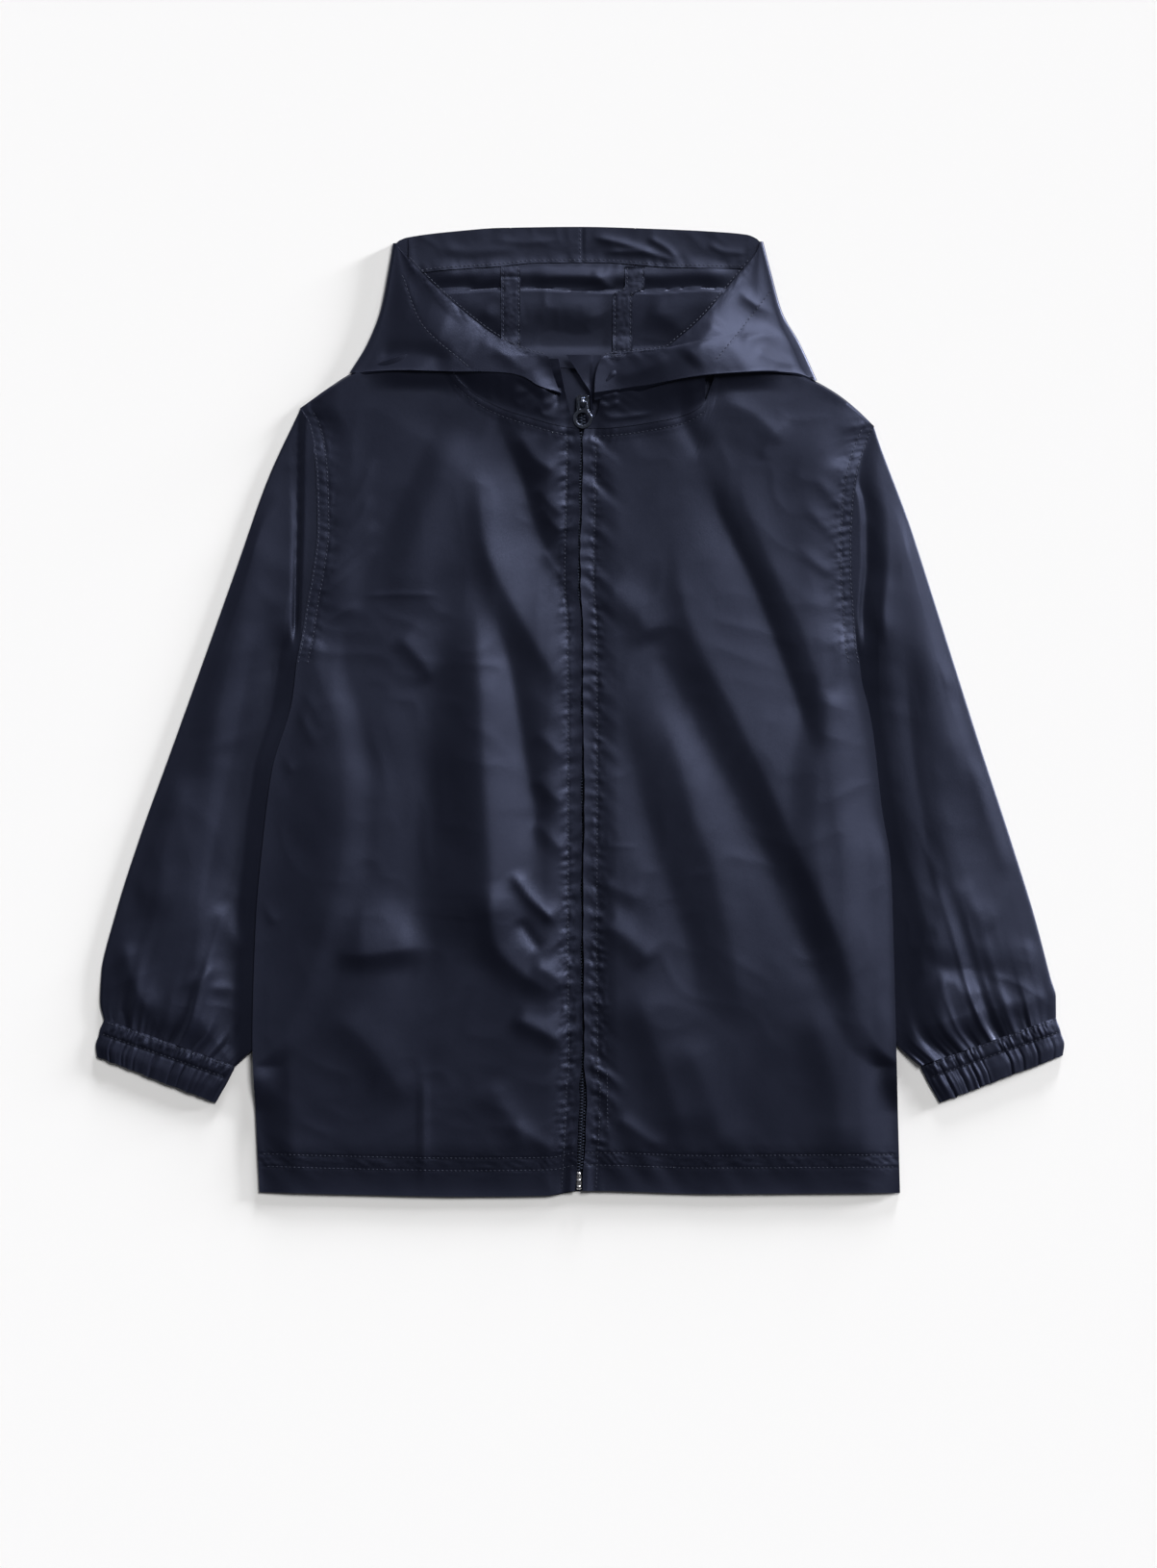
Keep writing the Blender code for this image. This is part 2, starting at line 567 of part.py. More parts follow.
def hood_floor(x, y):
    """Under side of the hood's lower layer, with the fold that crosses it."""
    below_fold = rising(CROSS_FOLD_Y - y, -1.5, 1.5) * rising(y, 244, 274)
    return CROSS_FOLD_RISE * below_fold * (1 - rising(np.abs(x), 86, 108))


def hood_seam(y, side):
    """Distance from the centre to the seam between the hood's side and its middle strip."""
    return through(y, side.hood.seam)


def lower_edge(out, side):
    """The hood's lower layer ends just above the back's neck and shoulder seams."""
    return top_of(out, side, BACK_NECK) + 3 * SEAM_GAP


def hood_lower_layer(side, down, silhouette):
    """From the felled seam out to the side fold."""
    seam_y = mix(through(side.sign * FELLED_SEAM_OUT, HOOD_TOP),
                 lower_edge(FELLED_SEAM_OUT, side), down)
    seam_x = hood_seam(seam_y, side) + SEAM_GAP / 2
    share = np.linspace(0, 1, 9)[None, :-1]
    x = mix(seam_x, silhouette[..., 0] - HOOD_FOLD, share)
    y = mix(seam_y, silhouette[..., 1], share)
    y = mix(y, through(side.sign * x, HOOD_TOP), (1 - down) ** 3)
    y = mix(y, lower_edge(x, side), down**2)
    return surface(x, y, hood_floor(x, y) + CLOTH / 2)


def hood_side_fold(silhouette):
    """Half a turn, five points round."""
    turn = np.linspace(-0.5, 0.5, 5)[None] * np.pi
    x = silhouette[..., 0] - HOOD_FOLD * (1 - np.cos(turn))
    z = CLOTH / 2 + HOOD_FOLD * (1 + np.sin(turn))
    return surface(x, silhouette[..., 1], z)


def hood_upper_layer(side, down, silhouette, rim):
    """From the side fold in to the rim of the face opening."""
    share = np.linspace(0, 1, 13)[None, 1:]
    x = mix(silhouette[..., 0] - HOOD_FOLD, rim[..., 0], share)
    y = mix(silhouette[..., 1], rim[..., 1], share)
    y = mix(y, through(x, side.hood.lip), down**4)
    width = np.abs(silhouette[..., 0] - rim[..., 0])
    puff = mix(*HOOD_PUFF, ease(down * 1.15)) * ease(share * width / HOOD_PUFF_WIDTH + 0.02)
    crease = HOOD_CREASE * np.sin(3 * np.pi * share + 2.2 * down)
    crease = crease * ease(width / 50) * ease(share * 3)
    return surface(x, y, CLOTH / 2 + 2 * HOOD_FOLD + puff + crease)


def hood_lip(side, edge):
    """Three rows that roll the upper layer's lower edge under, above the neck."""
    out = edge[..., 0]
    silhouette_end = side.hood.lip[-1][0]
    hang = through(out, side.hood.overhang) * rising(silhouette_end - out, 0, 30)
    room = mix(0.1, 1.0, rising(silhouette_end - out, 0, 34))
    roll = [(-1.0, -1.3), (0.6, -2.6), (7.0, -3.2)]  # along and down, where it hangs freely
    rows = []
    for row, (forward, drop) in enumerate(roll):
        hem = -1.6 * (row + 1)
        step_y = mix(hem, forward, hang)
        step_z = drop * mix(0.6, 1.0, hang) * room
        rows.append(edge + surface(0, step_y, step_z))
    return np.concatenate(rows)


def hood_side(side):
    """A side of the hood: its lower layer, the fold along the silhouette, and its upper layer,
    which ends in the rim of the face opening and rolls under along the lip above the neck."""
    down = graded(15, 1.0, 1.1)[:, None]
    silhouette = along(side.hood.silhouette, down[:, 0])[:, None]
    rim = along(side.hood.rim, down[:, 0])[:, None]
    lower = hood_lower_layer(side, down, silhouette)
    fold = hood_side_fold(silhouette)
    upper = hood_upper_layer(side, down, silhouette, rim)
    main = np.concatenate([lower, fold, upper], 1)
    lip = hood_lip(side, upper[-1:])
    # The lip's rows are full width in the grid, and the cells beside it are left out
    before_lip = lower.shape[1] + fold.shape[1]
    spare = np.repeat(main[-1:, :before_lip], len(lip), 0)
    spare[..., 1] -= np.arange(1, len(lip) + 1)[:, None]
    grid = np.concatenate([main, np.concatenate([spare, lip], 1)])
    grid[..., 0] *= side.sign
    last = main.shape[0] - 1
    wall("hood_side_" + side.name, grid, keep=lambda i, j: i < last or j >= before_lip)


def hood_neck(side):
    """The foot of a hood side, from the neck seam up to where it turns under the lip."""
    seam_x, seam_y = front_grid(side, np.ones(1))
    sewn = seam_x[0] < FOOT_REACH
    low_x, low_y = seam_x[:, sewn], seam_y[:, sewn] + SEAM_GAP
    up = np.linspace(0, 1, 6)[:, None]
    y = mix(low_y, FOOT_TOP_Y, up)
    lean = through(y, side.hood.neck_lean) * ease(5 * up)
    x = side.sign * (low_x + lean * ease(1 - low_x / FOOT_REACH))
    z = mix(front_height(x, low_y, side), FOOT_TOP_Z, up) + CLOTH / 2
    wall("hood_neck_" + side.name, surface(x, y, z))


def hood_middle():
    """The strip between the two felled seams, from the rim to the back's neck seam."""
    down = graded(19)[:, None]
    edges = []
    for side in SIDES:
        y = mix(through(side.sign * FELLED_SEAM_OUT, HOOD_TOP), lower_edge(FELLED_SEAM_OUT, side),
                down)
        edges.append(side.sign * (hood_seam(y, side) - SEAM_GAP / 2))
    x = mix(edges[0], edges[1], np.linspace(0, 1, 9)[None])
    y = mix(through(x, HOOD_TOP), lower_edge(np.abs(x), LEFT), down)
    wall("hood_middle", surface(x, y, hood_floor(x, y) + CLOTH / 2), NYLON_INSIDE)


def hood_facing():
    """The turned hem that shows inside the rim at the top of the hood."""
    x, down = np.meshgrid(np.linspace(FACING_EDGE[0][0], FACING_EDGE[-1][0], 25),
                          np.linspace(0, 1, 4))
    y = mix(through(x, HOOD_TOP) - 2 * FACING_LIFT, through(x, FACING_EDGE), down)
    z = hood_floor(x, y) + CLOTH + FACING_LIFT + CLOTH / 2
    wall("hood_facing", surface(x, y, z), NYLON_INSIDE)


def hood_fell(side):
    """A felled seam on the inside of the hood, over the join of its side and middle."""
    across, y = np.meshgrid(np.linspace(-0.5, 0.5, 3) * FELL_WIDTH,
                            mix(FELL_TOP, FELL_BOTTOM, graded(13)))
    x = side.sign * (hood_seam(y, side) + across)
    below = np.maximum(hood_floor(x, y), hood_floor(x, y - FELL_BRIDGE))
    wall("hood_fell_" + side.name, surface(x, y, below + CLOTH + FACING_LIFT + CLOTH / 2),
         NYLON_INSIDE)


# ---------------------------------------------------------------- zip


def zip_strip(name, low_y, high_y, rows, across, middle, look, thick):
    """A flat strip that follows the centre front."""
    y = mix(low_y, high_y, np.linspace(0, 1, rows)[:, None])
    x = centre_front(y) + np.array([across])
    wall(name, surface(x, y, middle), look, thick)


def zip_tape(side):
    inner = CHAIN_WIDTH / 2 + SEAM_GAP
    edges = sorted((side.sign * inner, side.sign * (inner + TAPE_WIDTH)))
    zip_strip("zip_tape_" + side.name, TAPE_BOTTOM, TAPE_TOP, 36, edges, TAPE_MIDDLE, TAPE,
              TAPE_THICK)


def zip_chain():
    """Both rows of closed teeth, as one bar."""
    zip_strip("zip_chain", CHAIN_BOTTOM, CHAIN_TOP, 36, (-CHAIN_WIDTH / 2, CHAIN_WIDTH / 2),
              (CHAIN_LOW + CHAIN_HIGH) / 2, TEETH, CHAIN_HIGH - CHAIN_LOW)


def zip_stop():
    slab("zip_stop", [rounded(*STOP_MIDDLE, STOP_WIDTH, STOP_LENGTH, 0.8)], CHAIN_LOW, STOP_HIGH,
         SILVER)


def zip_bridge():
    """The arch over the slider, as a piece to join to it."""
    x, y, _ = PIVOT
    outline = [(-3.6, -0.3), (-3.0, 2.2), (-1.8, 3.2), (1.8, 3.2), (3.0, 2.2), (3.6, -0.3),
               (2.4, -0.3), (2.1, 1.7), (1.4, 2.4), (-1.4, 2.4), (-2.1, 1.7), (-2.4, -0.3)]
    mesh = bmesh.new()
    right, left = (
        [mesh.verts.new((x + across, y + forward, SLIDER_HIGH + up)) for forward, up in outline]
        for across in (-BRIDGE_HALF_WIDTH, BRIDGE_HALF_WIDTH))
    mesh.faces.new(right)
    mesh.faces.new(left[::-1])
    for n in range(len(outline)):
        mesh.faces.new([right[n], right[n - 1], left[n - 1], left[n]])
    arch = place("zip_bridge", mesh, GUNMETAL)
    arch.hide_render = True
    arch.display_type = "WIRE"
    return arch


def zip_slider():
    """The slider's body, and the bridge that the pull tab swings in."""
    x, y, _ = PIVOT
    outline = rounded(x, y - SLIDER_SET_BACK, SLIDER_WIDTH, SLIDER_LENGTH, 2.2)
    body = slab("zip_slider", [outline], SLIDER_LOW, SLIDER_HIGH, GUNMETAL)
    join = body.modifiers.new("bridge", "BOOLEAN")
    join.operation = "UNION"
    join.object = zip_bridge()


def zip_pull():
    """The tab: a bar that turns in the bridge, a neck on each side of it, and a ring to grip."""
    x, y, z = PIVOT
    top = y + PULL_PAST_PIVOT
    ring_y = top - PULL_LENGTH + PULL_RING / 2
    outline = arc(x, ring_y, PULL_RING, 128, 412, 25)
    outline += [(x + PULL_NECK_WIDTH / 2, y - PULL_SHOULDER), (x + PULL_TOP_WIDTH / 2, top),
                (x - PULL_TOP_WIDTH / 2, top), (x - PULL_NECK_WIDTH / 2, y - PULL_SHOULDER)]
    window = rounded(x, y - PULL_WINDOW_DOWN, *PULL_WINDOW, 0.6, 2)
    eye = arc(x, ring_y, PULL_HOLE, 0, 342, 20)
    slab("zip_pull", [outline, window, eye], z - PULL_THICK / 2, z + PULL_THICK / 2, GUNMETAL,
         origin=PIVOT)


def zip_guard():
    """The folded guard behind the top of the zip, wide at the rim and narrow at the slider."""
    share, down = np.meshgrid(np.linspace(0, 1, 5), np.linspace(0, 1, 7))
    y = mix(GUARD_TOP[0], GUARD_BOTTOM[0], down)
    x = mix(through(y, GUARD_RIGHT_EDGE), through(y, GUARD_LEFT_EDGE), share)
    bow = GUARD_BOW * np.sin(np.pi * share) * (1 - down)
    wall("zip_guard", surface(x, y, mix(GUARD_TOP[1], GUARD_BOTTOM[1], down) + bow + CLOTH / 2))


def clear_scene():
    for item in list(bpy.data.objects):
        bpy.data.objects.remove(item)


def main():
    clear_scene()
    back()
    for side in SIDES:
        front(side)
        sleeve(side)
        cuff(side)
        hood_side(side)
        hood_neck(side)
        hood_fell(side)
        zip_tape(side)
    hood_middle()
    hood_facing()
    zip_chain()
    zip_stop()
    zip_slider()
    zip_pull()
    zip_guard()


main()
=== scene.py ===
"""The looks of a child's hooded nylon rain mac, zipped shut and laid out flat on its back.

Tables and sizes are in millimetres, and the pieces are built in metres. +X is the wearer's left,
+Y runs from the hem to the hood, and +Z is up off the floor that the mac lies on. Side tables
give distances outward from the centre front, so one function makes both sides. Each cloth piece
is a thin shell in the middle of its solid's wall, with the finer folds, puckers and stitching.
"""

from collections import namedtuple
from functools import cache

import bmesh
import bpy
import numpy as np
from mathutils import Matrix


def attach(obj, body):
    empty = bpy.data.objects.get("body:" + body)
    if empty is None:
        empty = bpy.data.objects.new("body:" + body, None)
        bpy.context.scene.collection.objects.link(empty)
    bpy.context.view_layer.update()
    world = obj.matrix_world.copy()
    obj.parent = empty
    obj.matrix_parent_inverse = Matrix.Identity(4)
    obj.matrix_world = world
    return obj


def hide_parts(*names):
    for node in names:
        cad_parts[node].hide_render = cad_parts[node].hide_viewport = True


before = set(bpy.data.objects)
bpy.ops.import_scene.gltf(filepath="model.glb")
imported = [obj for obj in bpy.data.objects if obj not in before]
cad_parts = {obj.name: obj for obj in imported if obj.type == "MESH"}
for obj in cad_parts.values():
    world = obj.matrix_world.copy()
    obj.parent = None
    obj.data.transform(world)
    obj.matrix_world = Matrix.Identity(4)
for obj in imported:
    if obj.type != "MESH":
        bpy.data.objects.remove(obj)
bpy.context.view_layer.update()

MM = 0.001

# Cloth and clearances
CLOTH = 1.0  # wall of every cloth piece
SHELL = 0.5  # thickness of a cloth shell, in the middle of that wall
ON_TOP = (0, 0, SHELL / 2)  # from the middle of a shell up to its face
SEAM_GAP = 0.4  # between two pieces that are sewn edge to edge
LAYER_GAP = 0.5  # between two layers that lie on each other
SEAM_LAP, LAP_RISE = 1.0, 0.9  # how far cloth goes under its neighbour at a seam
CRUMPLE = 0.28  # height of the soft unevenness left by folding
CREASE_STEPS = 16  # parts of a crease's spine
CREASE_REACH = 3.0  # half widths past which a crease has died away
CREST_ROUND, CREST_FALL = 0.16, 1.7  # how round a keen crest is, and how fast it falls off
SHARP_ANGLE = np.radians(50)

# Back
BACK_MIDDLE, BACK_CRUMPLE = 0.35, 0.5
BACK_SHARES, BACK_ROWS = np.linspace(0, 1, 44), np.linspace(0, 1, 96)
TUCK_RISE = 4.4  # how far the back lifts where a sleeve lies under it
TUCK_INSIDE, TUCK_BLEND = 34.0, 22.0  # it starts this far inside the sleeve's edge
TUCK_END, TUCK_END_BLEND = 32.0, 26.0  # and this far past the ends of the sleeve's edge

# Fronts
UNDERARM_Y, HEM_Y = 34.0, -320.0
NECK_POINT = 92.0  # distance out to where the neck seam meets the shoulder seam
CORNER_STEPS = np.linspace(-7, 7, 9)  # steps out over which that corner is eased
CORNER_BLEND = (6.0, 14.0)  # and how far out from it the plain curves take over
FRONT_LOFT = 3.3  # how far the fronts stand off the back
SIDE_ROUND, HEM_ROUND = 26.0, 34.0  # how far in a front rounds down to its side and hem
SHOULDER_EDGE, SHOULDER_ROUND, SHOULDER_SHARE = 1.4, 60.0, 0.35  # a short and a long round
ARMHOLE_PRESS, HEM_PRESS, PLACKET_PRESS = 0.85, 0.35, 0.75  # share of the loft left there
ARMHOLE_FROM = (UNDERARM_Y - 4, UNDERARM_Y + 30)
ARMHOLE_TO = (4.0, 34.0)  # down from its top
PLACKET_WIDTH = 24.0
TUCK_BRIDGE = 0.9  # how far the fronts level out what lifts the back
BODY_FALL, BODY_FALL_UP = 4.2, 160.0  # how far the fronts rise from their hem, and over what
BODY_FALL_IN = {"right": 90.0, "left": 34.0}
BODY_SETTLE, SETTLE_UP = 0.8, (-120.0, 190.0)  # share of that rise that is gone further up
SHADE_RISE, SHADE_REACH = 4.4, (-3.0, 14.0)  # rise of the fronts to the hood that hangs over them
SHADE_END = (116.0, 142.0)
NECK_RISE, NECK_REACH, NECK_OFF_ZIP = 0.5, 10.0, (4.0, 16.0)  # rise of the fronts to the neck seam
ZIP_TENT, SLIT_WOBBLE = 1.0, 0.45  # how the fronts rise to the zip, and how uneven their edges are
FOLD_TO_EDGE = 13.0  # the folds die away this far from a front's side
ZIP_FOLDS, FOLD_TO_ZIP = 0.25, (2.0, 14.8)  # share of the folds that reaches the zip, and where
FLOOR_ROUND = 0.25  # how softly cloth comes down on what is below it
SLIT_WAVES = ((13.0, 1.0), (5.0, 0.5))  # length and share of the waves along a front's edge
FRONT_SHARES = np.concatenate([np.linspace(0, 0.1, 17)[:-1], np.linspace(0.1, 0.875, 72)[:-1],
                               np.linspace(0.875, 1, 26)])
FRONT_ROWS = np.concatenate([np.linspace(0, 0.06, 36)[:-1], np.linspace(0.06, 0.63, 205)[:-1],
                             np.linspace(0.63, 1, 150)])

# Sleeves
SLEEVE_FOLD, FOLD_STEPS = 0.75, 9  # bend radius of a sleeve's folded edges
SLEEVE_LOFT = 5.0  # how far the upper half of a sleeve puffs up
SLEEVE_PUFF = {"right": 0.8, "left": 1.1}  # share of that loft
UPPER_PUFF = {"right": 0.4, "left": 1.0}  # how much of its puff a sleeve has above the underarm
ABOVE_UNDERARM = (UNDERARM_Y + 4, UNDERARM_Y + 28)
SLEEVE_SLOPE = 70.0  # distance over which a sleeve falls off towards its outer edge
SLEEVE_END_FALL, SLEEVE_END = 0.45, (0.84, 1.0)  # puff lost just above the elastic, and where
STRAIGHT_FROM = 0.2  # share of the sleeve past which its rows are straight
CREST_FROM_BODY = {"right": (13.0, 40.0), "left": (-7.0, 33.0)}  # where a sleeve rises beside it
ARMHOLE_STRIP = {"right": 1.9, "left": 0.9}  # rise of a sleeve between armhole and first fold
STRIP_EDGE = {"right": (-3.2, 0.4), "left": (-3.4, 0.8)}  # where that strip ends, from the fold
FOLD_VALLEY = {"right": (-14.0, -8.0), "left": (-0.5, 16.0)}  # how a sleeve rises past that fold
FOLD_GROOVE = {"right": 1.4, "left": 0.0}  # depth of the sharp fold line itself
FOLD_GROOVE_PAST, FOLD_GROOVE_WIDTH = 0.8, 2.0
TUCK_LIP = {"right": 2.9, "left": 0.0}  # rise of a sleeve's cloth under the body's edge
TUCK_LIP_END, OFF_BODY, OFF_OUTER = (-1.0, 13.0), (3.0, 13.0), (0.0, 12.0)
SLEEVE_SHARES = np.concatenate([np.linspace(0, 0.7, 96)[:-1], np.linspace(0.7, 1, 66)])
SLEEVE_COLUMNS = (108, 26)  # of the upper and the lower run
GATHER_RISE = 1.7  # of the folds where the elastic draws a sleeve in
GATHER_PITCH, GATHER_WIDTH_AT_CUFF, GATHER_LENGTH = 10.0, 96.0, (0.11, 0.32)
SMALL_GATHER_RISE, SMALL_GATHER_LENGTH = 0.4, 0.08

# Cuffs
CUFF_LOFT, CUFF_END_FALL = 1.7, 0.45
CUFF_LAP, CUFF_LAP_END = 1.1, 0.08  # how far a cuff reaches over the end of its sleeve
CUFF_ROWS, CUFF_COLUMNS = 26, (220, 60)
RUFFLES, RUFFLE_RISE, RUFFLE_SWAY = 9, 0.6, 1.1  # waves round the upper half of a cuff
RUFFLE_OFF_FOLDS, LOFT_OFF_FOLDS, RAGGEDNESS = 5.0, 10.0, 0.35
CHANNEL_END = 0.42  # share of a cuff's length where its second row of stitches is
CHANNEL_RISE, CHANNEL_PRESS = 0.42, 0.3
CUFF_STITCHES, CUFF_STITCHED = (0.03, CHANNEL_END), slice(3, 217)

# Zip
CHAIN_WIDTH, CHAIN_LOW, CHAIN_BOTTOM, CHAIN_TOP = 4.6, 1.5, -305.5, 199.3
CHAIN_ROOM, TAPE_ROOM = 3.0, 1.6  # space that the fronts leave over the chain and the tapes
TAPE_WIDTH, TAPE_THICK, TAPE_MIDDLE = 13.0, 0.72, 1.95
TAPE_RIB, TAPE_RIB_PITCH = 0.06, 1.7
TAPE_BOTTOM, TAPE_TOP = -317.0, 186.0
TOOTH_PITCH, TOOTH_SHIFT, TOOTH_MIDDLE, TOOTH_SIZE = 2.0, 0.95, 2.55, (2.9, 1.15, 2.1)
STOP_MIDDLE, STOP_WIDTH, STOP_LENGTH, STOP_HIGH = (-0.7, -311.8), 3.6, 11.6, 4.3
STOP_RIBS, STOP_RIB_SHARE, STOP_RIB_LENGTH, STOP_RIB_RISE = (-4.3, 0.0, 4.3), 0.9, 2.6, 0.5
SLIDER_WIDTH, SLIDER_LENGTH, SLIDER_SET_BACK, SLIDER_CORNER = 8.4, 11.0, 0.4, 2.2
SLIDER_LOW, SLIDER_HIGH, SLIDER_BEVEL = 1.4, 5.2, 0.5
BRIDGE_REACH, BRIDGE_RISE, BRIDGE_THICK, BRIDGE_SINK, BRIDGE_ROUND = 3.4, 3.3, 0.9, 0.3, 0.6
BRIDGE_RIBS = [(-1.1, 0.45), (-0.8, 0.0), (0.8, 0.0), (1.1, 0.45)]  # across, and how far inset
PIVOT = (1.9, 205.6, 6.5)  # axis of the pull tab, across the zip
PULL_LENGTH, PULL_RING, PULL_HOLE, PULL_THICK, PULL_BEVEL = 18.4, 13.0, 8.2, 1.2, 0.38
PULL_PAST_PIVOT, PULL_SHOULDER, PULL_TOP_WIDTH, PULL_NECK_WIDTH = 0.9, 3.6, 6.2, 6.9
PULL_CORNER, PULL_RING_ANGLES = 0.8, (128, 412)
PULL_WINDOW, PULL_WINDOW_DOWN, PULL_WINDOW_CORNER = (3.4, 3.8), 2.6, 0.6

# Hood
HOOD_FOLD = 1.8  # bend radius of the hood's side folds
HOOD_PUFF = {"right": (3.6, 7.4), "left": (1.0, 8.2)}  # rise of its upper layer, top and bottom
HOOD_PUFF_WIDTH = 46.0  # how far in from the side fold it has risen fully
HOOD_WAVE = 0.315  # height of the long waves across it
HOOD_SLOPE = {"right": 0.0, "left": 0.05}  # extra rise of a hood side towards its rim
HOOD_TILT = {"right": 0.0, "left": 9.0}  # how far a hood side falls towards the zip
TILT_END, TILT_DOWN = (18.0, 88.0), (0.3, 0.8)
HOOD_ROWS, HOOD_LOWER_COLUMNS, HOOD_UPPER_COLUMNS = 100, 40, 80
RIM_LENGTH, SECOND_ROW_LENGTH = 150.0, 80.0
RIM_ROW, RIM_ROWS = 1.3, 7  # distance in from the rim, and how many rows of its table are the rim
ROLL_DROP, ROLL_REACH = 1.9, 14.0  # of the right hood side's front edge
ROLL_BOTTOM, ROLL_TOP = (205.0, 216.0), (220.0, 240.0)
NOTCH_DEPTH, NOTCH_BOTTOM = 3.0, (195.0, 214.0)  # of the dark gap between that edge and the guard
NOTCH_PAST, NOTCH_END = 2.0, 12.0
LIP_ROWS, LIP_TUCK = 16, -4.8
LIP_HANG_FROM, LIP_ROOM_FROM = 30.0, 34.0  # how far in from the side fold it is full
LIP_FORWARD = [(0, 0), (0.33, -1.0), (0.66, 0.6), (1, 7.0)]
LIP_DROP = [(0, 0), (0.33, -1.3), (0.66, -2.6), (1, -3.2)]
FELLED_SEAM_OUT = 46.0  # rough distance out to the felled seams, where their ends are worked out
CROSS_FOLD_Y, CROSS_FOLD_RISE, CROSS_FOLD_SWAY = 280.0, 1.7, 1.6  # the fold across the inside
CROSS_FOLD_PAST, CROSS_FOLD_WIDTH, CROSS_FOLD_END = 11.0, 6.5, (86.0, 108.0)
CROSS_FOLD_WAVES, CROSS_FOLD_EDGE, CROSS_FOLD_BOTTOM = 26.0, (-0.7, 0.5), (244.0, 274.0)
OFF_BACK = (236.0, 244.0)  # where the lower layer comes down off the back
INSIDE_UP, INSIDE_OUT = (238.0, 246.0), (88.0, 104.0)  # edges of what the opening shows
FACING_LIFT = 0.3  # of the facing and the felled seams off the cloth below them
FACING_JOIN, FACING_JOIN_DEPTH, FACING_TILT = 1.3, 0.5, 0.8
FACING_STITCHED, FACING_ROW = (-112.0, 110.0), 0.93  # ends of its row, and share of its depth
JOIN_ROW, JOIN_STITCHED = 1.2, (0.06, 0.98)  # the row beside its join
FELL_WIDTH, FELL_TOP, FELL_BOTTOM, FELL_ROW = 13.0, 296.2, 238.5, 5.2
FELL_BRIDGE = 8.0  # how far a felled seam bridges the step of the cross fold
FOOT_REACH, FOOT_TOP_Y = 84.0, 234.5  # the foot of a hood side
FOOT_TOP = {"right": 10.5, "left": 9.0}  # height of a foot where the hood side hides it
FOOT_SLOPE = {"right": 0.0, "left": 0.05}  # and how it rises outward there
FOOT_SLOPE_FROM, FOOT_SLOPE_REACH = 10.0, 60.0
NECK_GATHER, NECK_GATHER_PITCH, NECK_GATHER_REACH, NECK_GATHER_SLANT = 0.22, 8.5, 24, 0.45
GUARD_TOP, GUARD_BOTTOM, GUARD_BOW = (237.0, 7.6), (200.5, 4.4), 0.5  # y and z of its ends
GUARD_LEAN, GUARD_FOLD, GUARD_FOLD_AT = 2.6, 1.0, (0.66, 0.8)

# Stitching
PLACKET_ROW = 8.8
STITCH_ROWS = {
    # rows of (distance in from the seam, depth that they press into the cloth)
    "hem": [(17.3, 0.12), (25.6, 0.16)],
    "placket": [(PLACKET_ROW, 0.10)],
    "armhole": [(1.2, 0.12), (7.6, 0.12)],
    "neck": [(5.0, 0.12)],
    "fell": [(FELL_ROW, 0.12)],
    "second": [(0.0, 0.10)],
}
HEM_TURN, HEM_STEP = (25.0, 26.2), -0.12  # where the turned hem ends, and the step that it leaves
OFF_HEM, ON_ARMHOLE, OFF_NECK = (23.6, 29.6), (UNDERARM_Y - 6, UNDERARM_Y + 10), (84.0, NECK_POINT)
HEM_STITCHED, ZIP_STITCHED = (4.0, 2.0), (HEM_Y + 3, 184.0)  # ends of these rows
ARMHOLE_STITCHED = (UNDERARM_Y - 2, 1.0)
LOW_DOWN = (-180.0, -60.0)  # the cloth beside the zip is more rippled below here
DEEPEST_RELIEF = 0.35  # how far puckers go below the cloth, which has this much room under it
INSIDE_DEEPEST, FACING_DEEPEST = 0.2, 0.25  # the same in the hood
STITCH_PITCH, STITCH_LENGTH, STITCH_GROOVE = 2.9, 2.2, 0.9
STITCH_STATIONS = (0.0, 0.2, 0.5, 0.8, 1.0)
STITCH_RISE = (-0.2, 0.06, 0.12, 0.06, -0.2)
STITCH_SWELL = (0.3, 1.0, 1.1, 1.0, 0.3)
STITCH_SIDES, STITCH_LIFT, STITCH_SKEW, THREAD_WIDTH = 6, 0.02, 0.12, 0.5
ZIP_PATCH = [(18.0, -240.0), (18.4, -277.0)]  # ends of the short row that holds the tape's end
TUFT, TUFT_ENDS, TUFT_SPREAD, TUFT_RADIUS = (22.6, 236.2, 14.0), 16, (2.2, 0.4, 0.2), 0.16
TUFT_REACH, TUFT_HEADING, TUFT_CURL, TUFT_FORWARD = (1.5, 4.0), 0.7, 1.6, 0.6

# Seeds of the random shapes
SEEDS = {"right": 11, "left": 23}
SLEEVE_SEED, CUFF_SEED, HOOD_SEED, FOOT_SEED = 100, 200, 300, 400

# Finishes
CLOTH_FINISHES = {
    # name: pale and deep dye, threads to the metre, depth of its crumple, least and greatest
    # roughness, specular, tint of its shine, and sheen
    # Proofed navy nylon with a satin face, and its duller inner face, whose dye is also set a
    # little darker as painted shade for the inside of the hood
    "nylon_navy": ((0.0046, 0.0053, 0.0112), (0.0034, 0.0039, 0.0086), 4000, 0.04, (0.355, 0.41),
                   0.55, (0.55, 0.63, 1.0), 0.0),
    "nylon_navy_inside": ((0.0042, 0.0048, 0.0100), (0.0030, 0.0035, 0.0076), 4000, 0.04,
                          (0.43, 0.50), 0.5, (0.55, 0.63, 1.0), 0.0),
    # Woven polyester zip tape, and spun polyester sewing thread in the navy of the cloth, coloured
    # several times paler than it as a painted highlight for the light that its stitches catch
    "zip_tape_weave": ((0.008, 0.009, 0.015), (0.005, 0.006, 0.010), 1300, 0.05, (0.6, 0.75),
                       0.35, (0.8, 0.85, 1.0), 0.1),
    "sewing_thread": ((0.018, 0.020, 0.034), (0.009, 0.010, 0.019), 5200, 0.05, (0.5, 0.65),
                      0.25, (0.7, 0.8, 1.0), 0.1),
}
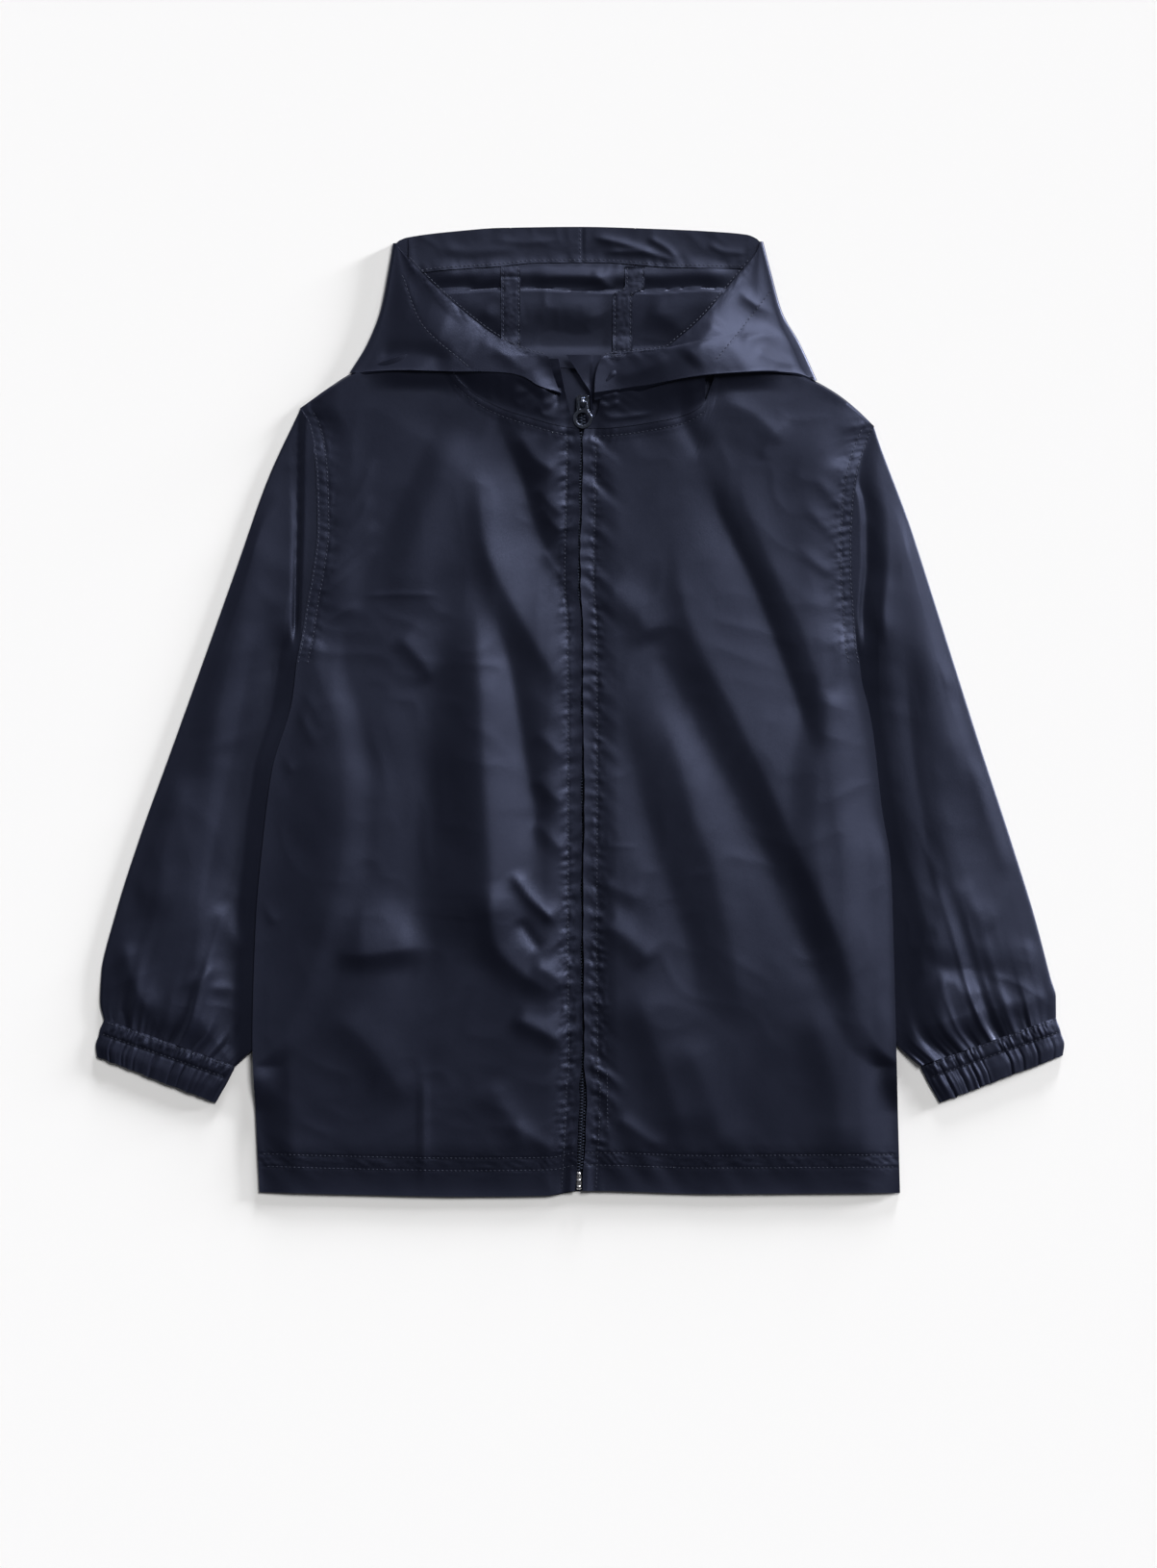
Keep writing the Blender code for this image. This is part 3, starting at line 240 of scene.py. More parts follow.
HARD_FINISHES = {
    # name: pale and deep colour, metallic, smooth and rubbed roughness, spots to the metre,
    # depth of its grain, and tint of its shine
    # Moulded black-navy teeth, painted die-cast slider and pull, and bright pressed metal stop
    "zip_teeth_resin": ((0.026, 0.029, 0.042), (0.012, 0.014, 0.022), 0.0, 0.22, 0.34, 1500, 0.2,
                        (0.5, 0.62, 1.0)),
    "slider_gunmetal": ((0.22, 0.25, 0.34), (0.10, 0.115, 0.165), 1.0, 0.15, 0.26, 900, 0.2,
                        (0.8, 0.9, 1.0)),
    "stop_silver": ((0.80, 0.80, 0.82), (0.62, 0.62, 0.65), 1.0, 0.16, 0.32, 1200, 0.3,
                    (1.0, 1.0, 1.0)),
}
# The inside finish has a duller gloss of its own, and its darker dye is painted shade.
INSIDE = ("nylon_navy_inside", "nylon_inside")  # finish and slot of the cloth inside the hood
DYE_PATCHES, FINE_DYE_PATCHES = 0.07, 0.003  # how far apart they are, in metres
CRUMPLE_SIZE, CRUMPLE_KEENNESS, CRUMPLE_DEPTH = 0.016, 0.6, 1.0
WEAVE_SHARE, WEAVE_DEPTH, GRAIN_DEPTH = 0.35, 0.03, 0.05
SHEEN_ROUGHNESS, SHEEN_TINT = 0.45, (0.55, 0.62, 1.0)

# Studio
IMAGE_PIXELS = (1203, 1630)
PIXEL = 0.64  # real size of an image pixel
CAMERA_X, CAMERA_Y, CAMERA_HEIGHT, SENSOR = -0.96, -48.0, 5000.0, 36.0
FLOOR_HALF, FLOOR_Z, FLOOR_WHITE, FLOOR_UNEVEN = 6.0, -0.0002, 0.86, 0.01
FLOOR_PATCHES, FLOOR_ROUGHNESS, FLOOR_SPECULAR = 3.0, 0.9, 0.1
FARTHEST_SEEN = 50.0
LAMPS = [
    # name, heading, height, strength, spread, colour
    ("key", 50, 56, 2.18, 26, (1.0, 0.99, 0.98)),
    ("low_right", 26, 7, 7.0, 10, (0.98, 0.98, 1.0)),
    ("low_top", 78, 7, 4.6, 10, (0.98, 0.98, 1.0)),
    ("top_fill", 140, 30, 0.3, 60, (0.97, 0.98, 1.0)),
]
SKY_COLOUR, SKY_STRENGTH = (0.98, 0.985, 1.0), 0.06

Side = namedtuple("Side", "name sign edge armhole fold shoulder neck sleeve cuff hood")
Section = namedtuple("Section", "outer_x outer_y inner_x inner_y loft")
Crease = namedtuple("Crease", "spine rise left right keen fade", defaults=[0.22])
Ripple = namedtuple("Ripple", "kind height middle pitch reach slant seed")
Hood = namedtuple("Hood", "silhouette rim lip seam neck_lean overhang second_row")
Tube = namedtuple("Tube", "out y from_outer from_inner loft is_upper rise down")


# Cloth pieces by their solids: name, width and length laid flat, how they are held, what they rest
# on, and their area where the piece isn't square. {} is the side.
SHEETS = {
    "back": ("back_shell", (434, 566), "laid", ["floor"], 214000),
    "front": ("front_{}_shell", (219, 566), "laid", ["back"], 107000),
    "sleeve": ("sleeve_{}_shell", (232, 430), "laid", ["floor"], 84000),
    "cuff": ("cuff_{}_shell", (216, 29), "gathered", ["floor"], None),
    "hood_side": ("hood_{}_shell", (240, 130), "folded", ["floor", "back", "front_{}_shell"],
                  19500),
    "hood_neck": ("hood_neck_{}_shell", (84, 46), "gathered", ["front_{}_shell", "back"], 3000),
    "hood_middle": ("hood_middle_shell", (84, 92), "laid", ["floor", "back"], 6700),
    "hood_facing": ("hood_facing_shell", (228, 27), "laid", ["hood_middle_shell"], 5400),
    "hood_fell": ("hood_fell_{}_shell", (13, 53), "laid", ["hood_middle_shell"], None),
    "zip_tape": ("zip_tape_{}_strip", (TAPE_WIDTH, TAPE_TOP - TAPE_BOTTOM), "laid", ["back_shell"],
                 None),
    "zip_guard": ("zip_guard_shell", (21, 38), "folded", ["zip_slider", "hood_neck_left_shell"],
                  400),
}

# Rows of (across, up)
HEM = [(-214, -319.4), (-147, -321.2), (-73, -322.4), (-20, -321.8), (0, -318.6),
       (20, -318.8), (82, -320.6), (213, -320.0)]
BACK_NECK = [(0, 232), (46, 236), (92, 245)]
HOOD_TOP = [(-124, 311.7), (-115, 315.5), (-79, 320.0), (-54, 321.9), (0, 322.6), (56, 321.0),
            (89, 319.4), (111, 317.4), (121.6, 312.6)]
FACING_EDGE = [(-114, 291.0), (-92, 293.6), (-53, 296.3), (-30, 298.6), (12, 298.9),
               (62, 295.6), (112, 294.8)]
# Rows of (up, across), and for the slit (up, half of the gap between the fronts)
CENTRE_FRONT = [(-322, -1.0), (-245, 2.2), (-166, 1.6), (-13, 1.8), (60, 1.3), (85, -0.6),
                (150, 0.6), (190, 1.3), (215, 1.9)]
SLIT = [(-322, 2.6), (-250, 2.4), (-236, 0.8), (180, 0.8), (188, 2.0), (196, 4.2), (215, 4.2)]
GUARD_RIGHT_EDGE = [(200, 6.9), (211, 6.7), (222, 0.6), (238, -9.6)]
GUARD_LEFT_EDGE = [(200, 8.9), (214, 8.4), (238, 14.6)]

# In a side's tables, edge, armhole, fold and hood.seam hold (up, out), neck_lean holds (up, lean),
# overhang holds (out, share), and the others hold (out, up).
RIGHT = Side(
    name="right",
    sign=-1,
    edge=[(-323, 213.2), (-271, 215.7), (-220, 217.9), (-141, 215.7), (-83, 210.6),
          (-39, 204.8), (8, 191.4), (34, 188.4)],
    armhole=[(34, 188.4), (50, 185.0), (71, 182.0), (92, 178.2), (122, 174.7), (155, 175.4),
             (175, 177.3), (190, 180.5), (202, 186.6)],
    fold=[(33, 189.0), (84, 188.0), (133, 187.0), (172, 187.0), (202, 186.0)],
    shoulder=[(92, 245), (125, 236), (153, 224.6), (165, 217.0), (186.6, 201.9)],
    neck=[(0, 188.2), (11, 189.4), (34, 195.5), (51, 201.0), (65, 207.7), (77, 216.3),
          (86, 226.0), (92, 245.0)],
    sleeve=[
        Section(186.6, 201.9, 188.8, 34, 0.55),
        Section(206.7, 157.4, 187, 25, 0.8),
        Section(226, 102, 177, -6, 1.0),
        Section(248, 40, 171, -46, 1.0),
        Section(271, -24, 172, -92, 1.0),
        Section(293, -85, 181, -135, 1.0),
        Section(308, -132, 193, -172, 1.0),
        Section(318, -172, 205, -205, 1.05),
        Section(319, -192, 214, -221, 1.05),
        Section(316.5, -204.5, 229, -235.5, 0.9),
    ],
    cuff=[
        Section(316.3, -205.5, 229.6, -236.6, 1.0),
        Section(319.0, -211.0, 232.0, -241.0, 1.15),
        Section(320.0, -215.5, 234.5, -246.0, 0.95),
        Section(322.0, -222.0, 238.5, -253.0, 1.25),
        Section(321.0, -229.5, 242.5, -260.0, 1.1),
    ],
    hood=Hood(
        silhouette=[(124.2, 311.5), (127.4, 291.8), (132.5, 266.9), (141.4, 244.5), (153.0, 225.4)],
        rim=[(119.5, 307.0), (104.3, 290.6), (79.4, 267.5), (53.1, 247.9), (32.0, 238.3),
             (26.0, 236.9), (21.5, 236.0), (17.5, 224.0), (12.6, 211.5)],
        lip=[(10.9, 211.0), (28.2, 217.6), (38, 226.6), (47, 229.4), (86, 226.8), (120, 227.2),
             (153, 225.4)],
        seam=[(230, 45.8), (330, 46.2)],
        neck_lean=[(188, 0), (197, 5.0), (238, 14.3)],
        overhang=[(10, 1.0), (153, 1.0)],
        second_row=[(118, 290.0), (106, 259.0), (73, 228.0)],
    ),
)
LEFT = Side(
    name="left",
    sign=1,
    edge=[(-323, 213.2), (-202, 209.9), (-152, 208.6), (-101, 206.7), (-65, 201.0),
          (-13, 194.9), (3, 192.0), (21, 187.4), (34, 186.0)],
    armhole=[(34, 186.0), (43, 184.3), (71, 182.4), (92, 181.1), (113, 181.1), (140, 182.4),
             (161, 185.6), (182, 192.4), (190, 196.0)],
    fold=[(36, 190.0), (67, 187.6), (82, 188.8), (98, 190.0), (125, 189.8), (141, 188.2),
          (154, 185.0), (165, 186.4), (190, 194.6)],
    shoulder=[(92, 245), (125, 234), (157.4, 219.5), (171.5, 211.2), (184.4, 201.0), (196, 190)],
    neck=[(0, 188.2), (12, 188.2), (58, 193.9), (72, 197.8), (84, 205.4), (89, 210.6),
          (92, 245.0)],
    sleeve=[
        Section(198.6, 190.6, 186.6, 34, 0.55),
        Section(209.0, 155.5, 186, 25, 0.8),
        Section(224.5, 108, 178, -8, 1.0),
        Section(245.4, 42, 171, -48, 1.0),
        Section(267, -26, 171, -92, 1.0),
        Section(286.6, -86, 180, -135, 1.0),
        Section(302.4, -137, 191, -172, 1.0),
        Section(312.6, -176, 202, -205, 1.05),
        Section(316.4, -190, 210, -221, 1.05),
        Section(316.5, -203.5, 226, -235.5, 0.9),
    ],
    cuff=[
        Section(316.4, -204.5, 226.6, -236.6, 1.0),
        Section(318.8, -210.0, 229.0, -241.0, 1.15),
        Section(320.0, -214.5, 231.5, -246.0, 0.95),
        Section(322.0, -221.0, 235.5, -253.0, 1.25),
        Section(321.0, -228.5, 239.5, -260.0, 1.1),
    ],
    hood=Hood(
        silhouette=[(121.6, 312.6), (126.7, 293.1), (134.4, 265.6), (145.9, 245.1), (157.4, 220.3)],
        rim=[(118.0, 305.5), (101.1, 285.4), (80.0, 260.5), (63.0, 245.8), (57.0, 241.3),
             (28.2, 238.1), (16.0, 236.2), (10.0, 222.0), (9.6, 212.0)],
        lip=[(9.6, 212.0), (46.7, 217.6), (71.7, 222.4), (89, 224.6), (125, 226.4), (144, 225.0),
             (157.4, 220.3)],
        seam=[(230, 28.4), (277, 28.4), (283, 36.5), (330, 36.8)],
        neck_lean=[(188, 0), (196, 7.8), (238, 15.0)],
        overhang=[(10, 0.0), (40, 0.1), (75, 1.0), (157, 1.0)],
        second_row=[(127, 280.0), (110, 258.0), (90, 233.0)],
    ),
)
SIDES = (RIGHT, LEFT)

# Rows of a Crease: a spine, how far it rises (below 0 it is a trough), its half widths to the left
# and to the right as seen walking along the spine, how keen its crest is, from 0 to 1, and where it
# isn't 0.22, over which share of its length each end fades.
FRONT_CREASES = {
    "right": [
        ([(-72, 90), (-68, 26), (-65, -38), (-62, -85), (-60, -125), (-66, -172)], 3.8, 19, 27,
         0.35),
        ([(-80, 102), (-93, 26), (-100, -38), (-107, -102), (-110, -150), (-106, -225)], -2.0, 24,
         22, 0.1),
        ([(-66, 214), (-48, 176), (-38, 154), (-29, 122), (-15, 90), (-4, 58)], -2.8, 11, 24, 0.45,
         0.42),
        ([(-69, 170), (-64, 115), (-53, 86), (-37, 58), (-18, 26), (-6, 8)], 1.5, 15, 10, 0.4),
        ([(-60, 76), (-46, 26), (-35, -38), (-29, -70), (-30, -110)], -2.0, 10, 15, 0.4),
        ([(-96, -154), (-120, -158), (-146, -161), (-168, -158)], 2.5, 9, 26, 0.25, 0.35),
        ([(-46, -105), (-35, -122), (-14, -142)], 1.4, 8, 5, 0.8),
        ([(-62, -112), (-57, -152), (-38, -174), (-10, -190)], 1.9, 18, 10, 0.5),
        ([(-42, -138), (-34, -148), (-26, -160)], -1.0, 5, 5, 0.5),
        ([(-166, -198), (-140, -222), (-112, -262)], 1.0, 14, 12, 0.3),
        ([(-122, 52), (-106, 34), (-96, 20)], 1.0, 14, 7, 0.6),
        ([(-192, 12), (-184, -6), (-174, -26)], 0.3, 5, 5, 0.6),
        ([(-188, 16), (-178, 4), (-168, -12)], 0.2, 5, 5, 0.6),
        ([(-204, -22), (-189, -42)], 0.3, 5, 5, 0.6),
        ([(-214, -124), (-202, -142)], 0.3, 5, 5, 0.6),
        ([(-164, 60), (-166, -10), (-167, -100), (-170, -230)], 0.8, 18, 18, 0.1),
        ([(-84, 216), (-104, 172), (-130, 118), (-156, 74)], -1.0, 14, 14, 0.2),
        ([(-78, 190), (-96, 150), (-112, 108), (-122, 64)], 1.2, 16, 16, 0.1),
        ([(-168, 118), (-148, 143), (-136, 170)], 0.3, 4, 5, 0.5),
        ([(-168, 104), (-150, 122), (-138, 146)], 0.35, 4, 5, 0.5),
        ([(-173, 88), (-153, 104), (-134, 128)], 0.4, 4, 5, 0.5),
        ([(-177, 76), (-153, 92), (-132, 112)], 0.35, 4, 5, 0.5),
        ([(-184, 50), (-162, 64), (-144, 72)], 0.35, 4, 5, 0.5),
        ([(-42, 186), (-30, 168), (-14, 158)], 0.8, 7, 6, 0.5),
        ([(-30, 152), (-22, 140), (-10, 130)], 0.6, 6, 5, 0.5),
        ([(-26, 138), (-19, 126), (-10, 119)], 0.5, 5, 4, 0.5),
        ([(-24, 108), (-17, 96), (-10, 88)], 0.5, 5, 5, 0.5),
        ([(-30, -12), (-20, -22), (-9, -32)], 0.55, 7, 6, 0.4),
        ([(-30, -42), (-20, -54), (-9, -62)], 0.6, 7, 6, 0.4),
        ([(-30, -72), (-20, -84), (-9, -94)], 0.55, 6, 6, 0.4),
        ([(-32, -168), (-20, -174), (-9, -184)], 0.7, 6, 6, 0.4),
        ([(-46, -202), (-26, -212), (-8, -222)], 1.4, 9, 7, 0.4),
        ([(-48, -272), (-30, -284), (-14, -294)], 0.6, 7, 7, 0.4),
        ([(-62, -244), (-48, -270), (-34, -294)], 0.9, 10, 14, 0.3),
        ([(-104, -236), (-104, -280), (-104, -322)], 0.7, 3, 3, 0.9),
        ([(-145, 77), (-118, 78), (-92, 77)], 0.25, 2.5, 2.5, 0.9),
    ],
    "left": [
        ([(62, 134), (67, 83), (76, 51), (88, 26), (105, -6), (121, -38), (135, -70), (149, -102),
         (164, -134), (178, -166), (190, -204)], 1.45, 22, 12, 0.5),
        ([(74, 176), (84, 152), (97, 122), (113, 90), (126, 58), (138, 26), (149, -6), (158, -40)],
         -1.5, 8, 17, 0.45),
        ([(96, 178), (104, 154), (120, 115), (134, 83), (146, 58), (157, 26), (165, 0), (170, -36)],
         0.9, 15, 10, 0.4, 0.35),
        ([(38, 72), (59, 26), (76, -6), (93, -38), (110, -70), (127, -102), (141, -134),
         (153, -166), (166, -215)], -1.5, 13, 16, 0.2),
        ([(50, 10), (65, -32), (76, -70), (88, -102), (95, -134), (102, -166), (110, -215)], 1.2,
         15, 13, 0.3),
        ([(24, 14), (33, -26), (44, -70), (54, -102), (65, -134), (74, -166), (80, -215)], -1.2, 12,
         16, 0.2),
        ([(184, 26), (168, 14), (158, 18)], -0.2, 7, 7, 0.3),
        ([(174, 214), (171, 190), (173, 160)], -0.6, 9, 11, 0.1),
        ([(14, 84), (36, 66), (52, 46)], 1.2, 14, 12, 0.2),
        ([(20, 196), (44, 196), (66, 204)], 0.5, 7, 7, 0.3),
        ([(60, 212), (70, 190), (84, 168)], -0.9, 7, 8, 0.3),
        ([(88, 208), (112, 200), (138, 176)], 0.7, 8, 8, 0.4),
        ([(140, 196), (126, 180), (120, 166)], 0.3, 4, 5, 0.4),
        ([(183, 132), (168, 142), (154, 160)], 0.25, 4, 5, 0.2, 0.4),
        ([(181, 112), (166, 120), (146, 142)], 0.3, 4, 5, 0.2, 0.4),
        ([(180, 90), (164, 94), (142, 112)], 0.3, 4, 5, 0.2, 0.4),
        ([(181, 70), (162, 70), (138, 84)], 0.18, 6, 6, 0.2, 0.4),
        ([(183, 50), (166, 46), (148, 54)], 0.12, 6, 6, 0.2, 0.4),
        ([(12, -138), (28, -148), (50, -168)], 1.4, 13, 10, 0.4),
        ([(34, -178), (52, -226), (74, -291)], 1.7, 20, 16, 0.3),
        ([(23, -268), (56, -292)], 0.8, 6, 6, 0.4),
        ([(66, -214), (84, -250), (98, -300)], 1.2, 16, 14, 0.2),
        ([(150, -190), (168, -240), (176, -300)], 1.2, 16, 14, 0.2),
        ([(200, -60), (206, -150), (204, -240)], 1.0, 10, 10, 0.3),
        ([(18, -78), (19, -89), (40, -90)], 0.12, 2, 2, 0.6),
        ([(14, -112), (28, -120), (42, -126)], 0.6, 7, 7, 0.3),
    ],
}
SLEEVE_CREASES = {
    "right": [
        ([(-208, 150), (-222, 80), (-238, 10), (-250, -50)], 1.2, 14, 12, 0.1),
        ([(-214, 60), (-232, -30), (-246, -100), (-254, -150)], -1.3, 10, 10, 0.2),
        ([(-266, -180), (-254, -178), (-243, -171), (-238, -163)], 0.6, 4, 9, 0.3, 0.4),
        ([(-248, -178), (-240, -184), (-228, -182)], 0.5, 6, 5, 0.3, 0.5),
        ([(-304, -150), (-298, -176), (-284, -204)], 1.1, 10, 8, 0.3),
        ([(-262, -40), (-276, -90), (-284, -140)], 1.0, 12, 12, 0.2),
        ([(-244, -128), (-232, -148), (-218, -160)], 0.7, 8, 9, 0.3),
    ],
    "left": [
        ([(212, 140), (226, 70), (240, 6), (256, -60)], 1.2, 12, 14, 0.1),
        ([(214, 60), (222, -30), (232, -100), (236, -150)], -1.3, 10, 10, 0.2),
        ([(250, -112), (262, -132), (276, -146)], 0.6, 11, 10, 0.3),
        ([(228, -164), (244, -171), (262, -172), (280, -183)], -1.1, 10, 12, 0.3),
        ([(236, -176), (250, -182), (262, -196)], 0.4, 8, 9, 0.4),
        ([(306, -150), (298, -172), (290, -204)], 0.6, 9, 10, 0.3),
        ([(266, -24), (278, -70), (292, -110)], 0.9, 12, 12, 0.2),
        ([(240, 20), (256, 24), (262, 16)], 0.6, 8, 8, 0.3),
    ],
}
HOOD_CREASES = {
    "right": [
        ([(-122, 300), (-108, 268), (-90, 244), (-72, 230)], 0.5, 12, 14, 0.3),
        ([(-112, 296), (-96, 272), (-74, 252)], -0.5, 6, 7, 0.3),
        ([(-140, 238), (-112, 238), (-84, 232)], -1.2, 8, 9, 0.2),
        ([(-68, 246), (-52, 238), (-40, 230)], 0.35, 6, 6, 0.4),
        ([(-58, 243), (-44, 232), (-32, 224)], 0.3, 5, 5, 0.4),
    ],
    "left": [
        ([(22, 222), (40, 226), (60, 236)], 0.5, 5, 5, 0.3),
        ([(138, 262), (118, 270), (104, 280)], 1.0, 6, 6, 0.7),
        ([(146, 246), (124, 250), (104, 246)], 1.2, 8, 8, 0.5),
        ([(124, 288), (132, 262), (148, 240)], 0.9, 5, 6, 0.7),
        ([(92, 262), (80, 244), (70, 232)], 1.2, 10, 9, 0.3),
        ([(116, 242), (128, 234), (144, 230)], 0.7, 5, 5, 0.5),
    ],
}
INSIDE_CREASES = [
    ([(-34, 288), (0, 290), (22, 284)], 0.9, 6, 6, 0.3),
    ([(8, 294), (18, 284), (24, 281)], 0.8, 5, 5, 0.6),
    ([(-74, 284), (-56, 287), (-44, 283)], 0.6, 5, 5, 0.4),
    ([(-36, 262), (-12, 268), (18, 262)], 0.9, 12, 10, 0.2),
    ([(-30, 250), (-4, 246), (20, 250)], -0.6, 8, 8, 0.2),
    ([(44, 268), (60, 260), (72, 250)], 0.7, 9, 9, 0.3),
    ([(-66, 268), (-56, 262), (-46, 252)], 0.6, 8, 8, 0.3),
]
COLLAR_CREASES = {
    "right": [
        ([(-25, 205), (-26, 200), (-22, 196), (-14, 194)], 0.3, 2, 2.4, 0.5),
        ([(-44, 222), (-32, 212), (-24, 206)], -0.6, 4, 4, 0.4),
    ],
    "left": [
        ([(11, 212), (17, 219), (25, 228)], 0.7, 1.8, 2, 0.5),
        ([(11, 210), (18, 210), (26, 211)], 0.7, 1.8, 2, 0.5),
        ([(11, 206.5), (19, 203), (27, 207)], 0.7, 1.8, 2, 0.6),
        ([(12, 201), (22, 195), (34, 196), (50, 198)], 0.8, 1.8, 2, 0.5),
    ],
}
FACING_CREASES = [
    ([(7, 316), (26, 312), (52, 304)], 0.8, 3, 3, 0.7),
    ([(14, 306), (36, 306), (70, 298)], 0.7, 3, 3, 0.7),
    ([(44, 316), (58, 308), (66, 300)], 0.7, 3, 3, 0.8),
    ([(84, 312), (96, 306), (112, 304)], 0.5, 3, 3, 0.5),
    ([(-96, 308), (-70, 306), (-40, 308)], 0.4, 4, 4, 0.3),
    ([(-60, 314), (-36, 312), (-10, 314)], 0.3, 3, 3, 0.4),
]

# Ripples that sewing leaves along a seam: their kind and height, how far in from the seam their
# middle is, their pitch, reach and slant, and the step of their seed. A pair holds the values high
# up and low down on the mac.
RIPPLES = {
    "armhole": [
        Ripple("ladder", 0.17, 3.8, 5.2, 6.5, 0.3, 0),
        Ripple("crinkle", 0.14, 7.6, STITCH_PITCH, 5.0, 0.4, 1),
        Ripple("ladder", 0.07, 7.6, 9.5, 10, 0.4, 11),
    ],
    "placket": [
        Ripple("crinkle", (0.16, 0.38), 8.8, STITCH_PITCH, (3.6, 5.6), 0.5, 21),
        Ripple("ladder", (0.13, 0.25), 8.8, 6.0, 4.2, 0.2, 25),
        Ripple("puckers", 0.34, 8.8, 7.0, 5.0, 0.3, 27),
        Ripple("ladder", 0.22, 4.4, 14, 6.0, 0.1, 31),
        Ripple("puckers", 0.5, 12.8, 15, 10, 0.8, 41),
    ],
    "hem": [
        Ripple("ladder", 0.15, 21.5, 5.6, 5.0, 1.0, 51),
        Ripple("crinkle", 0.16, 21.5, STITCH_PITCH, 6.0, 1.0, 55),
        Ripple("puckers", 0.40, 21.5, 22, 18, 0.6, 61),
    ],
    "neck": [
        Ripple("ladder", 0.12, 5.0, 5.4, 4.5, 0.4, 71),
        Ripple("puckers", 0.45, 5.0, 13, 16, -0.4, 81),
    ],
    "rim": [Ripple("crinkle", 0.10, 0, STITCH_PITCH, 4.5, 0.4, 1)],
    "rim_front": [Ripple("puckers", 0.32, 0, 8, 11, 0.9, 2)],
    "second": [Ripple("crinkle", 0.06, 0, STITCH_PITCH, 3.0, 0.4, 3)],
    "facing": [Ripple("puckers", 0.3, 0, 7, 6, 0.3, 82)],
    "fell": [Ripple("crinkle", 0.10, FELL_ROW, STITCH_PITCH, 2.5, 0.5, 7)],
}


# ---------------------------------------------------------------- curves


def ease(t):
    """0 to 1, with a soft start and end."""
    t = np.clip(t, 0.0, 1.0)
    return t * t * (3.0 - 2.0 * t)


def rising(x, start, end):
    """0 up to start, 1 from end on, and a soft step between them."""
    return ease((x - start) / (end - start))


def mix(a, b, share):
    return a + (b - a) * share


def through(x, table):
    """The smooth curve through a table of (x, value), which doesn't overshoot its rows."""
    xs, ys = np.array(table, float).T
    slope = np.diff(ys) / np.diff(xs)
    turn = slope[:-1] * slope[1:]
    inner = np.where(turn > 0, 2 * turn / np.where(turn > 0, slope[:-1] + slope[1:], 1), 0)
    tangent = np.concatenate([slope[:1], inner, slope[-1:]])
    i = np.clip(np.searchsorted(xs, x) - 1, 0, len(xs) - 2)
    step = xs[i + 1] - xs[i]
    t = np.clip((x - xs[i]) / step, 0, 1)
    return (ys[i] * (1 + 2 * t) * (1 - t) ** 2 + ys[i + 1] * t * t * (3 - 2 * t)
            + step * t * (1 - t) * (tangent[i] * (1 - t) - tangent[i + 1] * t))


def along(points, share):
    """Points at shares 0 to 1 of the length of the smooth curve through these points."""
    points = np.array(points, float)
    run = np.linalg.norm(np.diff(points[:, :2], axis=0), axis=1)
    at = np.concatenate([[0], np.cumsum(run)])
    at = at / at[-1]
    return np.stack([through(share, np.stack([at, column], 1)) for column in points.T], -1)


def graded(count, dense_start=1.0, dense_end=1.0):
    """Shares from 0 to 1, closer together at an end whose value is above 1."""
    t = np.linspace(0, 1, count)
    return mix(t**dense_start, 1 - (1 - t) ** dense_end, 0.5)


def surface(x, y, z):
    """A grid of points from coordinates that broadcast together."""
    return np.stack(np.broadcast_arrays(x, y, z), -1).astype(float)


# ---------------------------------------------------------------- noise, creases and puckers


def lattice(x, y, size, seed):
    """Smooth random height from -1 to 1, with hills about this far apart."""
    table = np.random.default_rng(seed).uniform(-1, 1, (64, 64))
    u, v = x / size, y / size
    i, j = np.floor(u).astype(int), np.floor(v).astype(int)
    s, t = ease(u - i), ease(v - j)
    low = mix(table[i % 64, j % 64], table[(i + 1) % 64, j % 64], s)
    high = mix(table[i % 64, (j + 1) % 64], table[(i + 1) % 64, (j + 1) % 64], s)
    return mix(low, high, t)


def rumple(x, y, size, seed):
    """Soft unevenness of cloth that has been folded small: long shallow creases at all angles."""
    bend = lattice(x, y, 2.2 * size, seed + 1) * size
    warp = lattice(x, y, 2.2 * size, seed + 2) * size
    broad = lattice(x + bend, y + warp, size, seed)
    fine = 1 - 2 * np.abs(lattice(x + warp, y - bend, 0.6 * size, seed + 3))
    return 0.65 * broad + 0.35 * fine


def beside(x, y, path):
    """How far each point is from a path, its share of the way along, and if it is on the left."""
    run = np.diff(path, axis=0)
    from_x = x[..., None] - path[:-1, 0]
    from_y = y[..., None] - path[:-1, 1]
    t = np.clip((from_x * run[:, 0] + from_y * run[:, 1]) / (run**2).sum(1), 0, 1)
    off_x, off_y = from_x - t * run[:, 0], from_y - t * run[:, 1]
    away = np.hypot(off_x, off_y)
    nearest = away.argmin(-1)[..., None]

    def there(values):
        return np.take_along_axis(values, nearest, -1)[..., 0]

    on_left = there(run[:, 0] * off_y - run[:, 1] * off_x) > 0
    return there(away), (nearest[..., 0] + there(t)) / len(run), on_left


def crease_shape(x, y, crease):
    """From 0 to 1: how near a point is to a crease, which fades out at both of its ends."""
    spine = along(crease.spine, np.linspace(0, 1, CREASE_STEPS + 1))
    away, share, on_left = beside(x, y, spine)
    u = away / np.where(on_left, crease.left, crease.right)
    keen = np.exp(CREST_FALL * (CREST_ROUND - np.hypot(u, CREST_ROUND)))
    crest = mix(np.exp(-u * u), keen, crease.keen)
    return crest * ease(share / crease.fade) * ease((1 - share) / crease.fade)


def crease_height(x, y, creases):
    """How far the creases lift or lower a cloth at (x, y)."""
    x, y = np.broadcast_arrays(x, y)
    total = np.zeros(x.shape)
    for crease in (Crease(*row) for row in creases):
        reach = CREASE_REACH * max(crease.left, crease.right)
        spine = np.array(crease.spine, float)
        low, high = spine.min(0) - reach, spine.max(0) + reach
        near = (x > low[0]) & (x < high[0]) & (y > low[1]) & (y < high[1])
        total[near] += crease.rise * crease_shape(x[near], y[near], crease)
    return total


